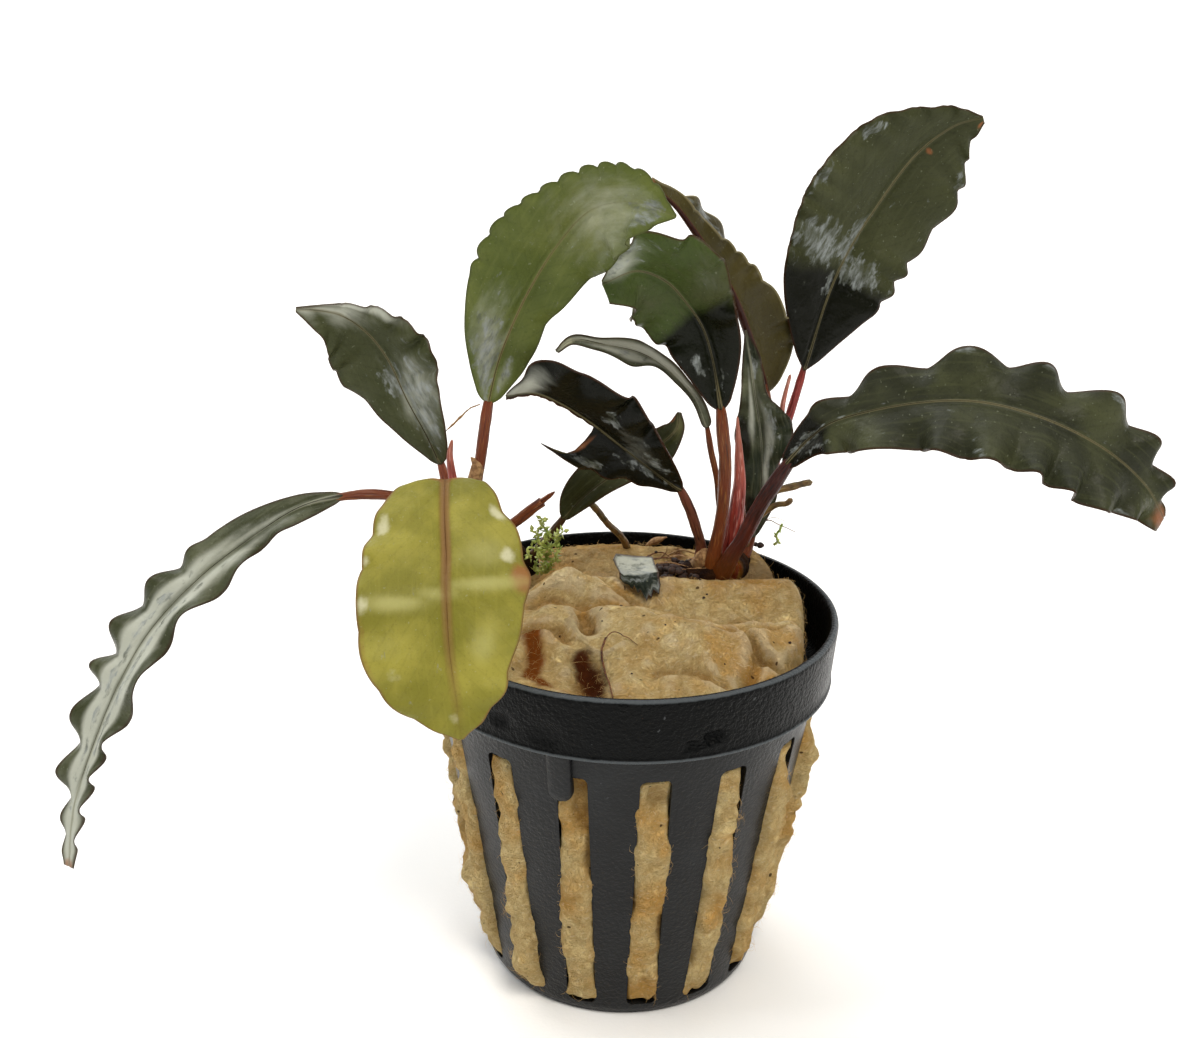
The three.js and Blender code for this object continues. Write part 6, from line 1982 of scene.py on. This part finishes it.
class PLANT_OT_litter(bpy.types.Operator):
    """Builds the crumbs of old rhizome on the wool and the dead sheaths on the stalks"""
    bl_idname = "plant.litter"
    bl_label = "Crumbs and husks"

    def execute(self, context):
        top = in_mm(plant_settings().wool, "top")[0]
        shell = Shell()
        rng = np.random.default_rng(SEED)
        lying = [[x, y, 0, radius] for x, y, radius in CRUMBS]
        heap = [[*rng.normal(HEAP_MIDDLE, HEAP_SPREAD), rng.uniform(*HEAP_CRUMB_RADII)]
                for _ in range(HEAP_CRUMBS)]
        for seed, (x, y, z, radius) in enumerate([*lying, *heap]):
            rise = wool_relief(np.array([x]), np.array([y]), top)[0] + radius * 0.3
            points, faces = crumb_skin(np.array([x, y, max(rise, z)]), radius, seed)
            shell.add(points, faces)
        finish = husk_finish("crumbled cork of old rhizome", "#3a2114", "#1d120c")
        shell.piece("crumbs", [finish], "rhizome")
        shell = Shell()
        for route, radii in HUSKS:
            place, t, _ = grown_route(route, 0.2)
            points, faces, marks = tube(place, curve(np.array(radii)[:, None], t)[:, 0], sides=12,
                                        lumps=0.06, seed=SEED)
            shell.add(points, faces, **marks)
        finish = husk_finish("papery dead sheath", "#b08a5c", "#7d5a38")
        shell.piece("dead_sheaths", [finish], "stalk")
        return {"FINISHED"}


# The stage. Its places are in metres, and the camera's lens and sensor in millimetres. The camera
# stands where the picture was taken, and is turned to the same angle.
CAMERA_PLACE = (-0.00006, -0.17084, 0.12325)
CAMERA_YAW, CAMERA_PITCH, CAMERA_ROLL = (math.radians(v) for v in (-1.2174, 20.5125, 1.0794))
CAMERA_LENS = 45
CAMERA_SENSOR = 36
CAMERA_CLIP = (0.01, 100)
FLOOR_REACH = 12
# Soft suns of the studio: [name, the way it comes from, strength, width in degrees, colour].
LAMPS = [
    ["window", (-0.4, 0.55, 0.8), 1.3, 50, "#ffffff"],
    ["softbox", (0.25, -0.5, 0.85), 1.8, 24, "#fff8ee"],
    ["small_lamp", (-0.5, -0.2, 0.85), 0.35, 7, "#ffffff"],
]


class PLANT_OT_stage(bpy.types.Operator):
    """Builds the pale floor, the soft studio light and the camera"""
    bl_idname = "plant.stage"
    bl_label = "Stage"

    def execute(self, context):
        mesh = bpy.data.meshes.new("floor")
        r = FLOOR_REACH
        mesh.from_pydata([(-r, -r, 0), (r, -r, 0), (r, r, 0), (-r, r, 0)], [], [(0, 1, 2, 3)])
        mesh.materials.append(paper_finish())
        floor = bpy.data.objects.new("floor", mesh)
        floor.location.z = -0.05 * MM
        scene = context.scene
        scene.collection.objects.link(floor)
        scene.view_settings.view_transform = "Standard"
        studio_light(scene)
        for name, way, strength, width, colour in LAMPS:
            lamp = bpy.data.lights.new(name, "SUN")
            lamp.energy, lamp.angle, lamp.color = strength, math.radians(width), srgb(colour)
            standing = bpy.data.objects.new(name, lamp)
            standing.rotation_euler = Vector(way).to_track_quat("Z", "Y").to_euler()
            scene.collection.objects.link(standing)
        stand_camera(scene)
        return {"FINISHED"}


def studio_light(scene):
    """A white studio that is bright overhead, behind and along its horizon, and dark in front,
    where nothing shines into the gloss of the leaves and the pot."""
    world = bpy.data.worlds.new("white studio")
    scene.world = world
    world.use_nodes = True
    tree = world.node_tree
    tree.nodes.clear()
    way = node(tree, "ShaderNodeTexCoord", output="Generated")
    lean = node(tree, VECTOR, {0: way, 1: (-0.1, 0.55, 0.83)}, output="Value",
                operation="DOT_PRODUCT")
    inputs = {"Value": lean, "From Min": -0.2, "From Max": 0.95, "To Min": 0.02, "To Max": 1.0}
    strength = node(tree, RANGE, inputs, "Result", interpolation_type="SMOOTHSTEP")
    rise = node(tree, "ShaderNodeSeparateXYZ", {"Vector": way}, "Z")
    rise = node(tree, MATH, {0: rise}, operation="ABSOLUTE")
    inputs = {"Value": rise, "From Min": 0.09, "From Max": 0.14, "To Min": 1, "To Max": 0}
    horizon = node(tree, RANGE, inputs, "Result", interpolation_type="SMOOTHSTEP")
    strength = node(tree, MATH, {0: strength, 1: horizon}, operation="MAXIMUM")
    shine = node(tree, "ShaderNodeBackground", {"Color": "#ffffff", "Strength": strength})
    node(tree, "ShaderNodeOutputWorld", {"Surface": shine})


def stand_camera(scene):
    """Stands the camera at its place, turned by its yaw and pitch and rolled about its own axis."""
    camera = bpy.data.cameras.new("camera")
    camera.sensor_width, camera.lens = CAMERA_SENSOR, CAMERA_LENS
    camera.clip_start, camera.clip_end = CAMERA_CLIP
    standing = bpy.data.objects.new("camera", camera)
    yaw, pitch, roll = CAMERA_YAW, CAMERA_PITCH, CAMERA_ROLL
    ahead = Vector((math.sin(yaw) * math.cos(pitch), math.cos(yaw) * math.cos(pitch),
                    -math.sin(pitch)))
    level = Vector((math.cos(yaw), -math.sin(yaw), 0))
    upright = level.cross(ahead)
    right = level * math.cos(roll) + upright * math.sin(roll)
    up = upright * math.cos(roll) - level * math.sin(roll)
    turned = Matrix((right, up, -ahead)).transposed().to_4x4()
    standing.matrix_world = Matrix.Translation(CAMERA_PLACE) @ turned
    scene.collection.objects.link(standing)
    scene.camera = standing


OPERATORS = (PLANT_OT_pot, PLANT_OT_wool, PLANT_OT_rhizomes, PLANT_OT_right_leaves,
             PLANT_OT_left_leaves, PLANT_OT_scrap, PLANT_OT_young_leaves, PLANT_OT_cut_stalk,
             PLANT_OT_roots, PLANT_OT_moss, PLANT_OT_litter, PLANT_OT_stage)


class PLANT_PT_panel(bpy.types.Panel):
    """Lists the plant's settings and its pieces"""
    bl_idname = "PLANT_PT_panel"
    bl_label = "Potted plant"
    bl_space_type = "VIEW_3D"
    bl_region_type = "UI"
    bl_category = "Plant"

    def draw(self, context):
        settings = context.scene.potted_plant
        for group in (settings.pot, settings.wool, settings.leaf, settings.colours):
            box = self.layout.box()
            for name in group.bl_rna.properties.keys():
                if name not in ("rna_type", "name"):
                    box.prop(group, name)
        for operator in OPERATORS:
            self.layout.operator(operator.bl_idname)


CLASSES = (PotSizes, WoolSizes, LeafSizes, PlantColours, PlantSettings, *OPERATORS, PLANT_PT_panel)


def register():
    """Adds the settings, the operators and the panel to Blender."""
    for each in CLASSES:
        bpy.utils.register_class(each)
    bpy.types.Scene.potted_plant = PointerProperty(type=PlantSettings)


def unregister():
    """Takes them out again, the last first."""
    del bpy.types.Scene.potted_plant
    for each in reversed(CLASSES):
        bpy.utils.unregister_class(each)


def main():
    """Builds everything."""
    register()
    for operator in OPERATORS:
        module, name = operator.bl_idname.split(".")
        getattr(getattr(bpy.ops, module), name)()
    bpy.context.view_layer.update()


if __name__ == "__main__":
    main()
